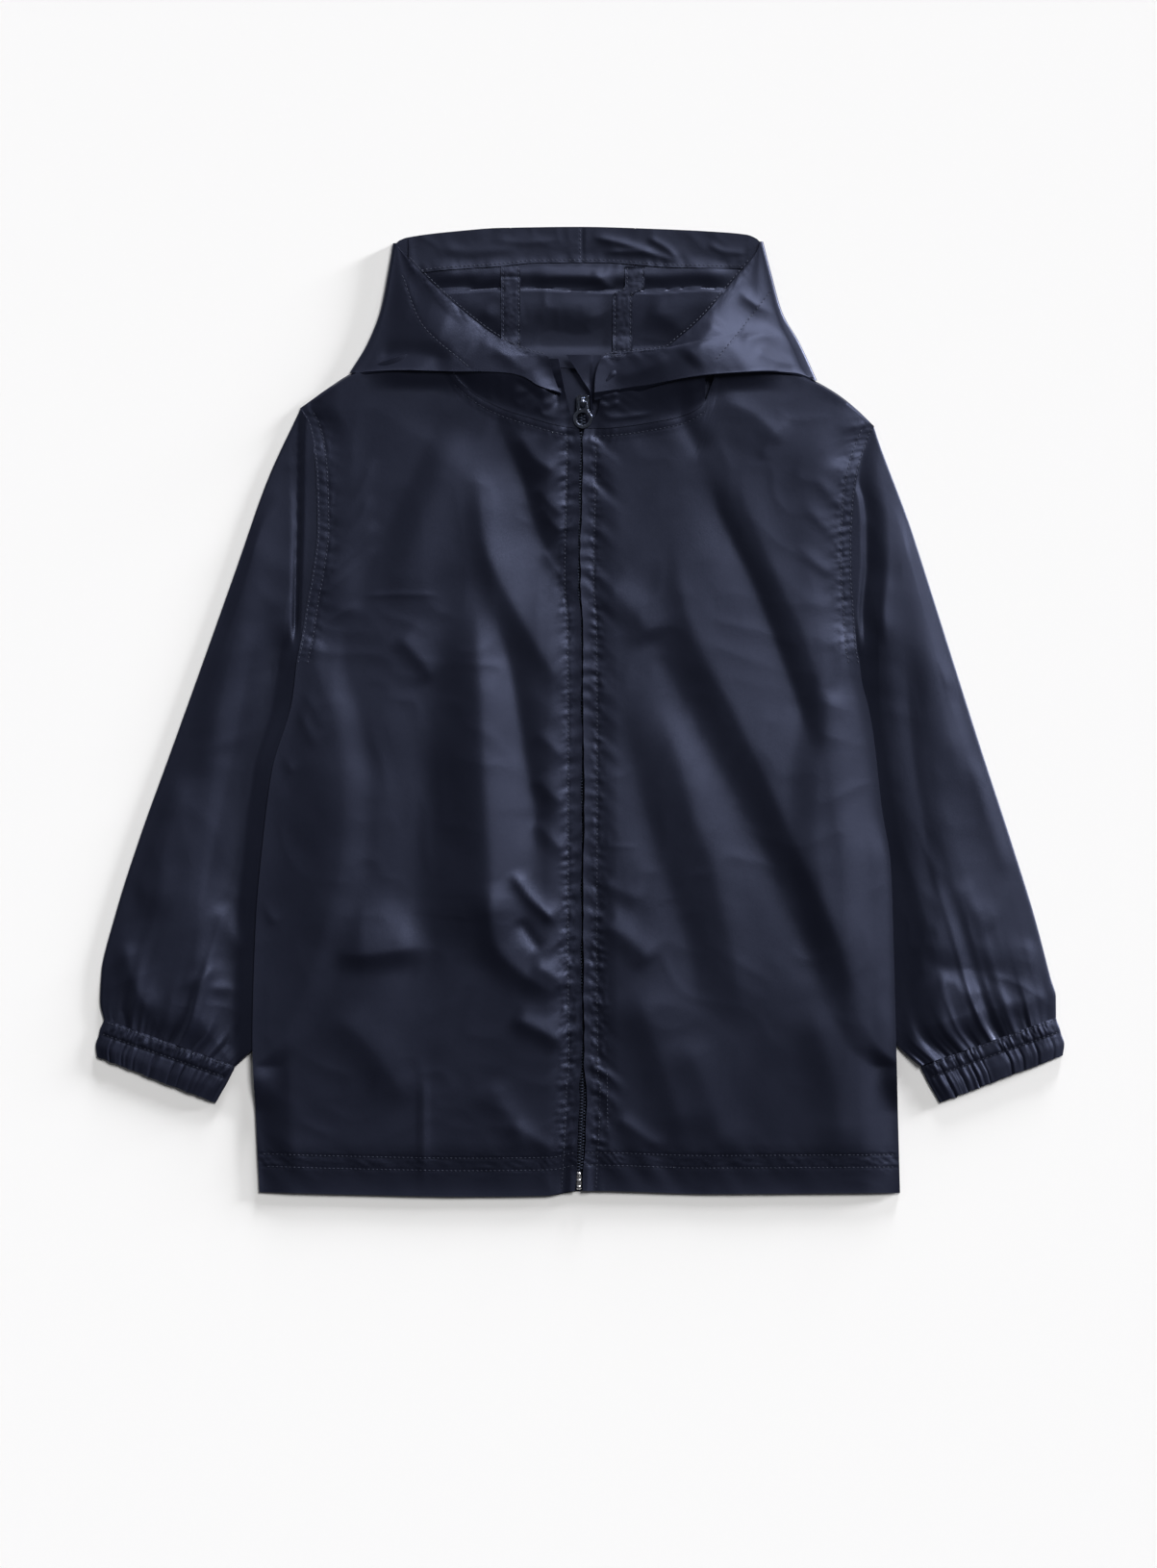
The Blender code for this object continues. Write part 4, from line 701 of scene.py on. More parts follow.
def puckers(run, away, pitch, reach, slant, seed):
    """Gathers across a stitched seam. run goes along the seam, and away is the distance to it."""
    waves = lattice(run + slant * away, 0.22 * away, 0.5 * pitch, seed)
    patches = 0.55 + 0.45 * lattice(run, 0 * run, 4 * pitch, seed + 5)
    return waves * patches * np.exp(-((away / reach) ** 2))


def crinkle(run, away, pitch, reach, slant, seed):
    """The fine ripples that the stitches of a row leave in thin cloth, no two alike."""
    ripple = lattice(run + slant * away, 0.8 * away, 0.75 * pitch, seed)
    finer = lattice(run - 0.4 * slant * away, 0.9 * away, 0.45 * pitch, seed + 1)
    return (ripple + 0.6 * finer) * np.exp(-((away / reach) ** 2))


def ladder(run, away, pitch, reach, slant, seed):
    """The close even ripples across a seam whose cloth was eased in, like the rungs of a ladder."""
    place = (run + slant * away) / pitch
    place = place + 0.8 * lattice(run, 0.3 * away, 3 * pitch, seed)
    patches = 0.65 + 0.35 * lattice(run, 0 * run, 2.3 * pitch, seed + 1)
    return np.sin(2 * np.pi * place) * patches * np.exp(-((away / reach) ** 2))


def groove(away, width=STITCH_GROOVE):
    """The narrow dip that a row of stitches presses into cloth."""
    return np.exp(-((away / width) ** 2))


RIPPLE_KINDS = {"puckers": puckers, "crinkle": crinkle, "ladder": ladder}


def ripples(seam, run, away, seed, low=0.0):
    """The ripples along a seam. low is the share of the values for low down on the mac."""
    def here(value):
        return mix(*value, low) if isinstance(value, tuple) else value

    return sum(here(row.height) * RIPPLE_KINDS[row.kind](
        run, away - row.middle, row.pitch, here(row.reach), row.slant, seed + row.seed)
        for row in RIPPLES[seam])


def pressed(seam, away):
    """How deep the rows of stitches along a seam press into the cloth."""
    return sum(depth * groove(away - inside) for inside, depth in STITCH_ROWS[seam])


# ---------------------------------------------------------------- meshes


def unit(vectors):
    return vectors / np.maximum(np.linalg.norm(vectors, axis=-1, keepdims=True), 1e-9)


def normals(grid, ring=False):
    """Unit normals of a grid of points; a ring's columns join up."""
    if ring:
        across = np.roll(grid, -1, 1) - np.roll(grid, 1, 1)
    else:
        across = np.gradient(grid, axis=1)
    return unit(np.cross(across, np.gradient(grid, axis=0)))


def volume(points, faces):
    """Signed volume inside a closed mesh of quads."""
    a, b, c, d = (points[faces[:, n]] for n in range(4))
    return (np.cross(a, b) * c + np.cross(a, c) * d).sum() / 6


def placed(name, data, look, body="coat"):
    """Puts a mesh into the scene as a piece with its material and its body."""
    data.shade_smooth()
    data.materials.append(look)
    piece = bpy.data.objects.new(name, data)
    bpy.context.scene.collection.objects.link(piece)
    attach(piece, body)
    return piece


def object_of(name, points, faces, look, slot="nylon"):
    """A piece from a mesh that is given in millimetres."""
    data = bpy.data.meshes.new(name)
    data.from_pydata((np.asarray(points) * MM).tolist(), [], faces.tolist())
    data.validate()
    piece = placed(name, data, look)
    data.set_sharp_from_angle(angle=SHARP_ANGLE)
    return piece


def shell(name, grid, look, slot, thick=SHELL, ring=False, keep=None):
    """A closed thin shell whose middle surface is this grid of (rows, columns) points.

    ring joins the last column to the first, and keep is a mask of the cells that are there.
    """
    rows, columns = grid.shape[:2]
    half = normals(grid, ring) * thick / 2
    points = np.concatenate([(grid + half).reshape(-1, 3), (grid - half).reshape(-1, 3)])
    number = np.arange(rows * columns).reshape(rows, columns)
    if ring:
        number = np.concatenate([number, number[:, :1]], 1)
    over = np.stack([number[:-1, :-1], number[:-1, 1:], number[1:, 1:], number[1:, :-1]], -1)
    over = over.reshape(-1, 4) if keep is None else over[keep]
    step = rows * columns
    edges = np.concatenate([over[:, pair] for pair in ([0, 1], [1, 2], [2, 3], [3, 0])])
    code = edges[:, 0] * step + edges[:, 1]
    back_code = edges[:, 1] * step + edges[:, 0]
    start, end = edges[~np.isin(code, back_code)].T
    sides = np.stack([end, start, start + step, end + step], 1)
    faces = np.concatenate([over, over[:, ::-1] + step, sides])
    used, faces = np.unique(faces, return_inverse=True)
    points, faces = points[used], faces.reshape(-1, 4)
    if volume(points, faces) < 0:
        faces = faces[:, ::-1]
    return object_of(name, points, faces, look, slot)


def cloth(solid, grid, side=None, look="nylon_navy", slot="nylon", **form):
    """Makes a piece of cloth, and hides the solid that it stands for."""
    name, (width, length), held, rests_on, area = SHEETS[solid]
    side_name = side.name if side else ""
    piece = shell(name.format(side_name), grid, finish(look), slot, **form)
    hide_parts(f"{solid}_{side_name}" if side else solid)


# ---------------------------------------------------------------- stitching


def resampled(path):
    """Points along each stitch of a row, at even steps along its path."""
    length = np.concatenate([[0], np.cumsum(np.linalg.norm(np.diff(path, axis=0), axis=1))])
    at = np.arange(0.0, length[-1] - STITCH_LENGTH, STITCH_PITCH)
    stations = at[:, None] + STITCH_LENGTH * np.array(STITCH_STATIONS)[None]
    return np.stack([np.interp(stations, length, path[:, n]) for n in range(3)], -1)


def round_threads(middles, ring):
    """Points and faces of threads, from their middles and the points of a ring round each."""
    points = (middles[:, :, None] + ring).reshape(-1, 3)
    number = np.arange(len(points)).reshape(*middles.shape[:2], -1)
    after = np.roll(number, -1, 2)
    faces = np.stack([number[:, :-1], number[:, 1:], after[:, 1:], after[:, :-1]], -1)
    return points, faces.reshape(-1, 4)


def stitching(name, paths):
    """Rows of sewing stitches, each a short rounded thread that dips into the cloth at its ends."""
    rng = np.random.default_rng(len(name) * 7 + sum(map(ord, name)))
    stations = np.concatenate([resampled(np.asarray(path)) for path in paths])
    stations[..., 2] += STITCH_LIFT + np.array(STITCH_RISE)
    run = unit(stations[:, -1] - stations[:, 0])
    side = unit(np.cross(run, [0, 0, 1]))
    side += run * rng.uniform(-STITCH_SKEW, STITCH_SKEW, (len(stations), 1))
    up = np.cross(side, run)
    angles = (2 * np.pi * np.arange(STITCH_SIDES) / STITCH_SIDES)[:, None]
    ring = (np.cos(angles) * side[:, None] * THREAD_WIDTH / 2
            + np.sin(angles) * up[:, None] * THREAD_WIDTH / 3)
    swell = np.array(STITCH_SWELL)[:, None, None]
    # The thread is coloured paler than the cloth as a painted highlight on the stitches.
    object_of(name, *round_threads(stations, ring[:, None] * swell), finish("sewing_thread"))


# ---------------------------------------------------------------- body


def side_edge(y, side):
    """Distance from the centre to the armhole, and below it to the side fold."""
    return np.where(y > UNDERARM_Y, through(y, side.armhole), through(y, side.edge))


def centre_front(y):
    return through(y, CENTRE_FRONT)


def top_of(out, side, neck):
    """Upper edge of a body panel: its neck seam, then its shoulder seam."""
    def height(at):
        return np.where(at > NECK_POINT, through(at, side.shoulder), through(at, neck))

    # The corner at the neck point is eased, so that no cells of the mesh are drawn out beside it
    eased = sum(height(out + step) for step in CORNER_STEPS) / len(CORNER_STEPS)
    return mix(eased, height(out), rising(np.abs(out - NECK_POINT), *CORNER_BLEND))


def back_height(out, y, side):
    """Under side of the back: on the floor, and lifted where the sleeve lies under its edge."""
    inner_edge = [(s.inner_y, s.inner_x) for s in reversed(side.sleeve)]
    from_sleeve = through(y, inner_edge) - TUCK_INSIDE
    low, high = inner_edge[0][0] - TUCK_END, inner_edge[-1][0] + TUCK_END
    return (TUCK_RISE * rising(out, from_sleeve, from_sleeve + TUCK_BLEND)
            * rising(y, low, low + TUCK_END_BLEND) * (1 - rising(y, high - TUCK_END_BLEND, high)))


def placket_edge(y, side):
    """Distance out to a front's edge beside the zip."""
    return side.sign * centre_front(y) + through(y, SLIT)


def seam_relief(x, y, side):
    """Puckers, stitch grooves and turned hems of a front, added to its height."""
    out = np.abs(x)
    hem = y - through(x, HEM)
    at_armhole = rising(y, *ON_ARMHOLE)
    at_neck = 1 - rising(out, *OFF_NECK)
    seams = {
        # way along it, distance in from it, share of its ripples and of its stitch grooves here
        "armhole": (y, side_edge(y, side) - out, at_armhole, at_armhole),
        "placket": (y, out - placket_edge(y, side), rising(hem, *OFF_HEM), 1.0),
        "hem": (x, hem, 1.0, 1.0),
        "neck": (out, through(out, side.neck) - y, at_neck, at_neck),
    }
    low = 1 - rising(y, *LOW_DOWN)
    relief = HEM_STEP * (1 - rising(hem, *HEM_TURN))
    for seam, (run, away, rippled, grooved) in seams.items():
        relief = relief + rippled * ripples(seam, run, away, SEEDS[side.name], low)
        relief = relief - grooved * pressed(seam, away)
    return relief


def front_height(x, y, side, fine=True):
    """Under side of a front: on the back along its edges, and lofted with folds inside them."""
    out = np.abs(x)
    inside = side_edge(y, side) - out
    from_zip = np.abs(x - centre_front(y))
    from_shoulder = through(out, side.shoulder) - y
    from_neck = np.where(out < NECK_POINT + 6, through(out, side.neck) - y, NECK_REACH)
    from_lip = through(out, side.hood.lip) - y
    off_top = mix(rising(from_shoulder, 0, SHOULDER_EDGE),
                  rising(from_shoulder, 0, SHOULDER_ROUND), SHOULDER_SHARE)
    off_hem = mix(HEM_PRESS, 1.0, rising(y - HEM_Y, 0, HEM_ROUND))
    at_armhole = rising(y, *ARMHOLE_FROM) * rising(side.shoulder[-1][1] - y, *ARMHOLE_TO)

    loft = FRONT_LOFT * mix(ARMHOLE_PRESS * at_armhole, 1.0, rising(inside, 0, SIDE_ROUND))
    loft = loft * (1 - TUCK_BRIDGE * back_height(out, y, side) / TUCK_RISE)
    full = rising(y, HEM_Y, HEM_Y + BODY_FALL_UP) * (1 - BODY_SETTLE * rising(y, *SETTLE_UP))
    loft = loft + BODY_FALL * full * rising(inside, 0, BODY_FALL_IN[side.name])
    loft = loft + SHADE_RISE * (1 - rising(from_lip, *SHADE_REACH)) * (1 - rising(out, *SHADE_END))
    loft = loft * off_top * off_hem * mix(PLACKET_PRESS, 1.0, rising(from_zip, 0, PLACKET_WIDTH))
    at_neck = (1 - rising(from_neck, 0, NECK_REACH)) * rising(from_zip, *NECK_OFF_ZIP)
    loft = loft + NECK_RISE * at_neck
    loft = loft + ZIP_TENT * np.maximum(1 - from_zip / (PLACKET_ROW + 1), 0)

    clear = (rising(inside, 0, FOLD_TO_EDGE) * off_top
             * mix(ZIP_FOLDS, 1.0, rising(from_zip, *FOLD_TO_ZIP)))
    folds = crease_height(x, y, FRONT_CREASES[side.name]) * off_hem
    folds = clear * (folds + CRUMPLE * rumple(x, y, 34, SEEDS[side.name]))

    over_tape = 1 - rising(from_zip, CHAIN_WIDTH / 2 + TAPE_WIDTH, TAPE_WIDTH + 8)
    over_chain = 1 - rising(from_zip, CHAIN_WIDTH + 1, CHAIN_WIDTH + 5)
    room = TAPE_ROOM * over_tape + (CHAIN_ROOM - TAPE_ROOM) * over_chain
    lift = soft_floor(loft + LAYER_GAP + folds, np.maximum(room, LAYER_GAP))
    if fine:
        relief = seam_relief(x, y, side) * rising(inside, -0.5, 3)
        lift = lift + np.maximum(relief, -DEEPEST_RELIEF)
    return back_height(out, y, side) + CLOTH + lift


def soft_floor(height, floor):
    """The greater of two heights, with a rounded join."""
    gap = (height - floor) / FLOOR_ROUND
    return floor + FLOOR_ROUND * np.where(gap > 20, gap, np.log1p(np.exp(np.minimum(gap, 20))))


def body_grid(side, across, up, inner, neck):
    """Plan of half a body panel, from the side edge to inner(y), and from the hem to the top."""
    share, rise = np.meshgrid(across, up)
    x_top = mix(side.shoulder[-1][0], 0, share)
    for _ in range(3):
        top = top_of(x_top, side, neck) - SEAM_GAP / 2
        x_top = mix(side_edge(top, side), inner(top), share)
    hem = through(side.sign * mix(side.edge[0][1], 0, share), HEM)
    y = mix(hem, top, rise)
    out = mix(side_edge(y, side) - SEAM_GAP / 2, inner(y), share)
    return out, y


def back():
    """One piece across both sides, flat on the floor apart from slight creases."""
    halves = []
    for side in SIDES:
        out, y = body_grid(side, BACK_SHARES, BACK_ROWS, np.zeros_like, BACK_NECK)
        x = side.sign * out
        z = back_height(out, y, side) + BACK_MIDDLE + BACK_CRUMPLE * (1 + rumple(x, y, 42, 5)) / 2
        halves.append(surface(x, y, z))
    cloth("back", np.concatenate([halves[0], halves[1][:, -2::-1]], 1))


def front(side):
    """One front, from its side seam to its slightly wavy edge along the zip."""
    def inner(y):
        (long, long_share), (short, short_share) = SLIT_WAVES
        uneven = (long_share * lattice(y, 0 * y, long, SEEDS[side.name] + 90)
                  + short_share * lattice(y, 0 * y, short, 7))
        return placket_edge(y, side) + SLIT_WOBBLE * uneven

    out, y = body_grid(side, FRONT_SHARES, FRONT_ROWS, inner, side.neck)
    x = side.sign * out
    z = front_height(x, y, side) + CLOTH / 2
    cloth("front", surface(x, y, z), side)
    stitching(f"front_{side.name}_stitching", front_seams(side))


def on_front(out, y, side):
    """Points on the upper face of a front."""
    x = side.sign * out
    return surface(x, y, front_height(x, y, side) + (CLOTH + SHELL) / 2)


def front_seams(side):
    """The rows of stitches on a front: hem, placket, armhole and neck."""
    hem_out = np.linspace(HEM_STITCHED[0], side.edge[0][1] - HEM_STITCHED[1], 240)
    hem_y = through(side.sign * hem_out, HEM)
    zip_y = np.linspace(*ZIP_STITCHED, 420)
    arm_y = np.linspace(ARMHOLE_STITCHED[0], side.armhole[-1][0] - ARMHOLE_STITCHED[1], 200)
    neck_out = np.linspace(PLACKET_ROW, OFF_NECK[0], 120)
    seams = {
        # distance out and height along the seam, and the way in from it
        "hem": (hem_out, hem_y, 0, 1),
        "placket": (placket_edge(zip_y, side), zip_y, 1, 0),
        "armhole": (side_edge(arm_y, side), arm_y, -1, 0),
        "neck": (neck_out, through(neck_out, side.neck), 0, -1),
    }
    rows = [on_front(out + in_x * inside, y + in_y * inside, side)
            for seam, (out, y, in_x, in_y) in seams.items() for inside, _ in STITCH_ROWS[seam]]
    if side.name == "left":
        patch = np.linspace(*ZIP_PATCH, 60)
        rows.append(on_front(patch[:, 0], patch[:, 1], side))
    return rows


# ---------------------------------------------------------------- sleeves and cuffs


def tube(sections, down, top, bottom):
    """Plan of a flattened tube, in columns: upper run, inner fold, lower run, outer fold."""
    at = np.linspace(0, 1, len(sections))
    outer_x, outer_y, inner_x, inner_y, loft = (
        through(down, np.stack([at, column], 1))[:, None] for column in np.array(sections).T)
    width = np.hypot(inner_x - outer_x, inner_y - outer_y)
    turn = np.linspace(-0.5, 0.5, FOLD_STEPS)[None] * np.pi
    edge = SLEEVE_FOLD / width
    upper = edge + (1 - 2 * edge) * np.linspace(0, 1, top)
    lower = edge + (1 - 2 * edge) * np.linspace(1, 0, bottom)
    inner_fold = 1 - edge * (1 - np.cos(turn[:, ::-1]))
    outer_fold = edge * (1 - np.cos(turn))
    across = np.concatenate([upper, inner_fold[:, 1:-1], lower, outer_fold[:, 1:-1]], 1)
    rise = np.concatenate([np.ones(top), np.sin(turn[0, ::-1])[1:-1], -np.ones(bottom),
                           np.sin(turn[0])[1:-1]])
    return Tube(
        out=mix(outer_x, inner_x, across),
        y=mix(outer_y, inner_y, across),
        from_outer=across * width,
        from_inner=(1 - across) * width,
        loft=loft,
        is_upper=np.broadcast_to(np.arange(across.shape[1]) < top, across.shape),
        rise=np.broadcast_to(rise, across.shape),
        down=down[:, None],
    )


def tube_height(lift, shape):
    """Middle of the wall: low run on the floor, round folds, upper run lifted."""
    middle = CLOTH / 2 + SLEEVE_FOLD * (1 + shape.rise)
    return middle + np.where(shape.is_upper, np.maximum(lift, 0), 0)


def sleeve(side):
    """A set-in sleeve: one flattened tube from the armhole to the elastic."""
    shape = tube(side.sleeve, SLEEVE_SHARES, *SLEEVE_COLUMNS)
    seed = SEEDS[side.name] + SLEEVE_SEED
    y = shape.y
    # The first row follows the armhole, and the rows after it straighten out
    to_armhole = side_edge(y[:1], side) - SEAM_LAP - shape.out[:1]
    out = shape.out + to_armhole * (1 - rising(shape.down, 0, STRAIGHT_FROM))
    x = side.sign * out
    past_seam = out - side_edge(y, side)
    past_fold = out - through(y, side.fold)
    above_underarm = rising(y, *ABOVE_UNDERARM)
    puff = SLEEVE_LOFT * SLEEVE_PUFF[side.name] * shape.loft
    puff = puff * np.minimum(shape.from_outer / SLEEVE_SLOPE, 1) ** 0.9
    puff = puff * (1 - SLEEVE_END_FALL * rising(shape.down, *SLEEVE_END))
    above = mix(UPPER_PUFF[side.name] * puff * rising(past_fold, *FOLD_VALLEY[side.name]),
                ARMHOLE_STRIP[side.name], 1 - rising(past_fold, *STRIP_EDGE[side.name]))
    fold_line = groove(past_fold - FOLD_GROOVE_PAST, FOLD_GROOVE_WIDTH)
    above = above - FOLD_GROOVE[side.name] * fold_line
    below = puff * rising(past_seam, *CREST_FROM_BODY[side.name])
    below = below + TUCK_LIP[side.name] * (1 - rising(past_seam, *TUCK_LIP_END))
    clear = rising(past_seam, *OFF_BODY) * rising(shape.from_outer, *OFF_OUTER)
    folds = crease_height(x, y, SLEEVE_CREASES[side.name]) + CRUMPLE * rumple(x, y, 30, seed)
    lift = mix(below, above, above_underarm) + clear * (folds + gathers(shape, seed))
    cloth("sleeve", surface(x, y, tube_height(lift, shape)), side, ring=True)


def gathers(shape, seed):
    """Folds that the elastic draws up the sleeve, uneven in width, depth and length."""
    across = shape.from_outer * (GATHER_WIDTH_AT_CUFF / (shape.from_outer + shape.from_inner))
    up = 1 - shape.down

    def folds(stretch, pitch, step):
        return lattice(across, stretch * shape.down, pitch * GATHER_PITCH, seed + step)

    uneven = 0.5 + 0.5 * lattice(across, 0 * across, 1.1 * GATHER_PITCH, seed)
    broad = 0.6 * folds(1.2, 0.5, 1) + 0.5 * (1 - 2 * np.abs(folds(2.0, 0.7, 2)))
    return (GATHER_RISE * np.exp(-((up / mix(*GATHER_LENGTH, uneven)) ** 2)) * broad
            + SMALL_GATHER_RISE * np.exp(-((up / SMALL_GATHER_LENGTH) ** 2)) * folds(3.0, 0.22, 3))


def ruffle(across, down, seed):
    """Folds round a cuff: tight in the elastic's channel, and flat pleats along the free edge."""
    place = RUFFLES * across
    place = place + 0.45 * lattice(place, 0 * across, 1.3, seed) + 0.07 * down
    turn = place - np.floor(place)
    pleat = 0.5 * turn - groove(np.minimum(turn, 1 - turn), 0.09)
    pleat = pleat * (0.7 + 0.5 * lattice(np.floor(place + 0.5), 0 * across, 0.8, seed + 1))
    pleat = pleat + 0.35 * lattice(place, 0.4 * down, 0.24, seed + 4)
    free = rising(down, CHANNEL_END - 0.1, CHANNEL_END + 0.2)
    tight = lattice(3.3 * place, 2 * down, 0.5, seed + 2)
    in_channel = groove(down - 0.5 * CHANNEL_END, 0.55 * CHANNEL_END)
    rows = groove(down, 0.05) + groove(down - CHANNEL_END, 0.06)
    return (RUFFLE_RISE * pleat * mix(0.3, 1.0, free)
            + CHANNEL_RISE * tight * in_channel - CHANNEL_PRESS * rows)


def cuff_plan(shape, side):
    """Lift and sway of a cuff's cloth."""
    def off_folds(reach):
        return rising(shape.from_outer, 0, reach) * rising(shape.from_inner, 0, reach)

    seed = SEEDS[side.name] + CUFF_SEED
    across = shape.from_outer / (shape.from_outer + shape.from_inner)
    wave = ruffle(across, shape.down, seed) * off_folds(RUFFLE_OFF_FOLDS)
    loft = CUFF_LOFT * shape.loft * off_folds(LOFT_OFF_FOLDS)
    lift = loft * (1 - CUFF_END_FALL * shape.down) + wave
    ragged = RAGGEDNESS * lattice(across * 30, 0 * across, 1, seed + 3)
    sway = (RUFFLE_SWAY * wave + ragged) * shape.down**2 * shape.is_upper
    return lift, sway + CUFF_LAP * (1 - rising(shape.down, 0, CUFF_LAP_END))


def cuff(side):
    """The elasticated end of a sleeve: a short flattened tube, ruffled all along its upper half."""
    shape = tube(side.cuff, np.linspace(0, 1, CUFF_ROWS), *CUFF_COLUMNS)
    lift, sway = cuff_plan(shape, side)
    grid = surface(side.sign * shape.out, shape.y + sway, tube_height(lift, shape))
    cloth("cuff", grid, side, ring=True)
    rows = [grid[round(down * (CUFF_ROWS - 1)), CUFF_STITCHED] + ON_TOP for down in CUFF_STITCHES]
    stitching(f"cuff_{side.name}_stitching", rows)


# ---------------------------------------------------------------- hood


def hood_floor(x, y):
    """Under side of the hood's lower layer, with the fold that crosses it."""
    edge = CROSS_FOLD_Y + CROSS_FOLD_SWAY * lattice(x, 0 * x, CROSS_FOLD_WAVES, 61)
    below_fold = rising(edge - y, *CROSS_FOLD_EDGE) * rising(y, *CROSS_FOLD_BOTTOM)
    above_fold = groove(y - edge - CROSS_FOLD_PAST, CROSS_FOLD_WIDTH) * (y > edge)
    over_back = LAP_RISE * (1 - rising(y, *OFF_BACK))
    shown = 1 - rising(np.abs(x), *CROSS_FOLD_END)
    return over_back + shown * CROSS_FOLD_RISE * (below_fold + above_fold)


def inside_layer(x, y):
    """The middle of the lower layer's wall, with creases where the face opening shows it."""
    shown = rising(y, *INSIDE_UP) * (1 - rising(np.abs(x), *INSIDE_OUT))
    relief = shown * (crease_height(x, y, INSIDE_CREASES) + 0.35 * rumple(x, y, 20, 71))
    return surface(x, y, hood_floor(x, y) + CLOTH / 2 + np.maximum(relief, -INSIDE_DEEPEST))


def lower_edge(out, side):
    """The hood's lower layer ends just above the back's neck and shoulder seams."""
    return top_of(out, side, BACK_NECK) - 4 * SEAM_LAP


def felled_seam_y(side, down):
    """Height along a felled seam, from the top of the hood down to the back's neck seam."""
    return mix(through(side.sign * FELLED_SEAM_OUT, HOOD_TOP), lower_edge(FELLED_SEAM_OUT, side),
               down)


def hood_lower_layer(side, down, silhouette):
    """From the felled seam out to the side fold, in distances out from the centre."""
    seam_y = felled_seam_y(side, down)
    seam_x = through(seam_y, side.hood.seam) + SEAM_GAP / 2
    share = np.linspace(0, 1, HOOD_LOWER_COLUMNS)[None, :-1]
    out = mix(seam_x, silhouette[..., 0] - HOOD_FOLD, share)
    y = mix(seam_y, silhouette[..., 1], share)
    y = mix(y, through(side.sign * out, HOOD_TOP), (1 - down) ** 3)
    y = mix(y, lower_edge(out, side), down**2)
    return inside_layer(side.sign * out, y) * (side.sign, 1, 1)


def hood_side_fold(silhouette):
    """Half a turn round the side fold."""
    turn = np.linspace(-0.5, 0.5, FOLD_STEPS)[None] * np.pi
    out = silhouette[..., 0] - HOOD_FOLD * (1 - np.cos(turn))
    return surface(out, silhouette[..., 1], CLOTH / 2 + HOOD_FOLD * (1 + np.sin(turn)))


def rim_path(side):
    """The rim of the face opening, as far as the zip."""
    return along(side.hood.rim[:RIM_ROWS], np.linspace(0, 1, 2 * CREASE_STEPS + 1))


def hood_upper(side, down, share):
    """The upper layer of a hood side: share runs from the side fold in to the rim."""
    silhouette = along(side.hood.silhouette, down)
    rim = along(side.hood.rim, down)
    out = mix(silhouette[..., 0] - HOOD_FOLD, rim[..., 0], share)
    y = mix(silhouette[..., 1], rim[..., 1], share)
    y = mix(y, through(out, side.hood.lip), down ** (4 + 26 * share**3))
    width = np.abs(silhouette[..., 0] - rim[..., 0])
    puff = mix(*HOOD_PUFF[side.name], ease(1.15 * down))
    puff = puff * ease(share * width / HOOD_PUFF_WIDTH + 0.02)
    puff = puff + HOOD_SLOPE[side.name] * share * width * ease(4 * share) * rising(down, 0, 0.25)
    waves = HOOD_WAVE * np.sin(3 * np.pi * share + 2.2 * down) * ease(width / 50) * ease(3 * share)
    tilt = HOOD_TILT[side.name] * (1 - rising(out, *TILT_END)) * rising(down, *TILT_DOWN)
    inside = rising(share * width, 1, 16) * rising(down, 0, 0.06)
    z = puff + waves + inside * hood_relief(side, out, y) - tilt - ROLL_DROP * rolled(out, y, side)
    return surface(out, y, CLOTH / 2 + 2 * HOOD_FOLD + z)


def hood_relief(side, out, y):
    """Creases of a hood's side, and the ripples beside its rim and its second row of stitches."""
    seed = SEEDS[side.name] + HOOD_SEED
    from_rim, run, _ = beside(out, y, rim_path(side))
    second = along(side.hood.second_row, np.linspace(0, 1, CREASE_STEPS + 1))
    from_second, second_run, _ = beside(out, y, second)
    relief = crease_height(side.sign * out, y, HOOD_CREASES[side.name])
    relief += 0.7 * CRUMPLE * rumple(out, y, 26, seed)
    relief += ripples("rim", RIM_LENGTH * run, from_rim, seed)
    relief += ripples("rim_front", RIM_LENGTH * run, from_rim, seed) * rising(run, 0.4, 0.8)
    relief += ripples("second", SECOND_ROW_LENGTH * second_run, from_second, seed)
    return relief - pressed("second", from_second)


def rolled(out, y, side):
    """From 0 to 1: how far the right hood side has rolled down at its front edge."""
    if side.name == "left":
        return 0.0
    edge = along(side.hood.rim[RIM_ROWS - 1:], np.linspace(0, 1, 9))
    from_front = beside(out, y, edge)[0]
    high = rising(y, *ROLL_BOTTOM) * (1 - rising(y, *ROLL_TOP))
    return (1 - rising(from_front, 0, ROLL_REACH)) * high


def hood_lip(side, edge):
    """Rows that roll the upper layer's lower edge under, above the neck."""
    to_silhouette = side.hood.lip[-1][0] - edge[..., 0]
    hang = through(edge[..., 0], side.hood.overhang) * rising(to_silhouette, 0, LIP_HANG_FROM)
    room = mix(0.1, 1.0, rising(to_silhouette, 0, LIP_ROOM_FROM)) * mix(0.6, 1.0, hang)
    row = np.linspace(0, 1, LIP_ROWS + 1)[1:, None]
    forward = mix(LIP_TUCK * row, through(row, LIP_FORWARD), hang)
    return edge + surface(0, forward, through(row, LIP_DROP) * room)


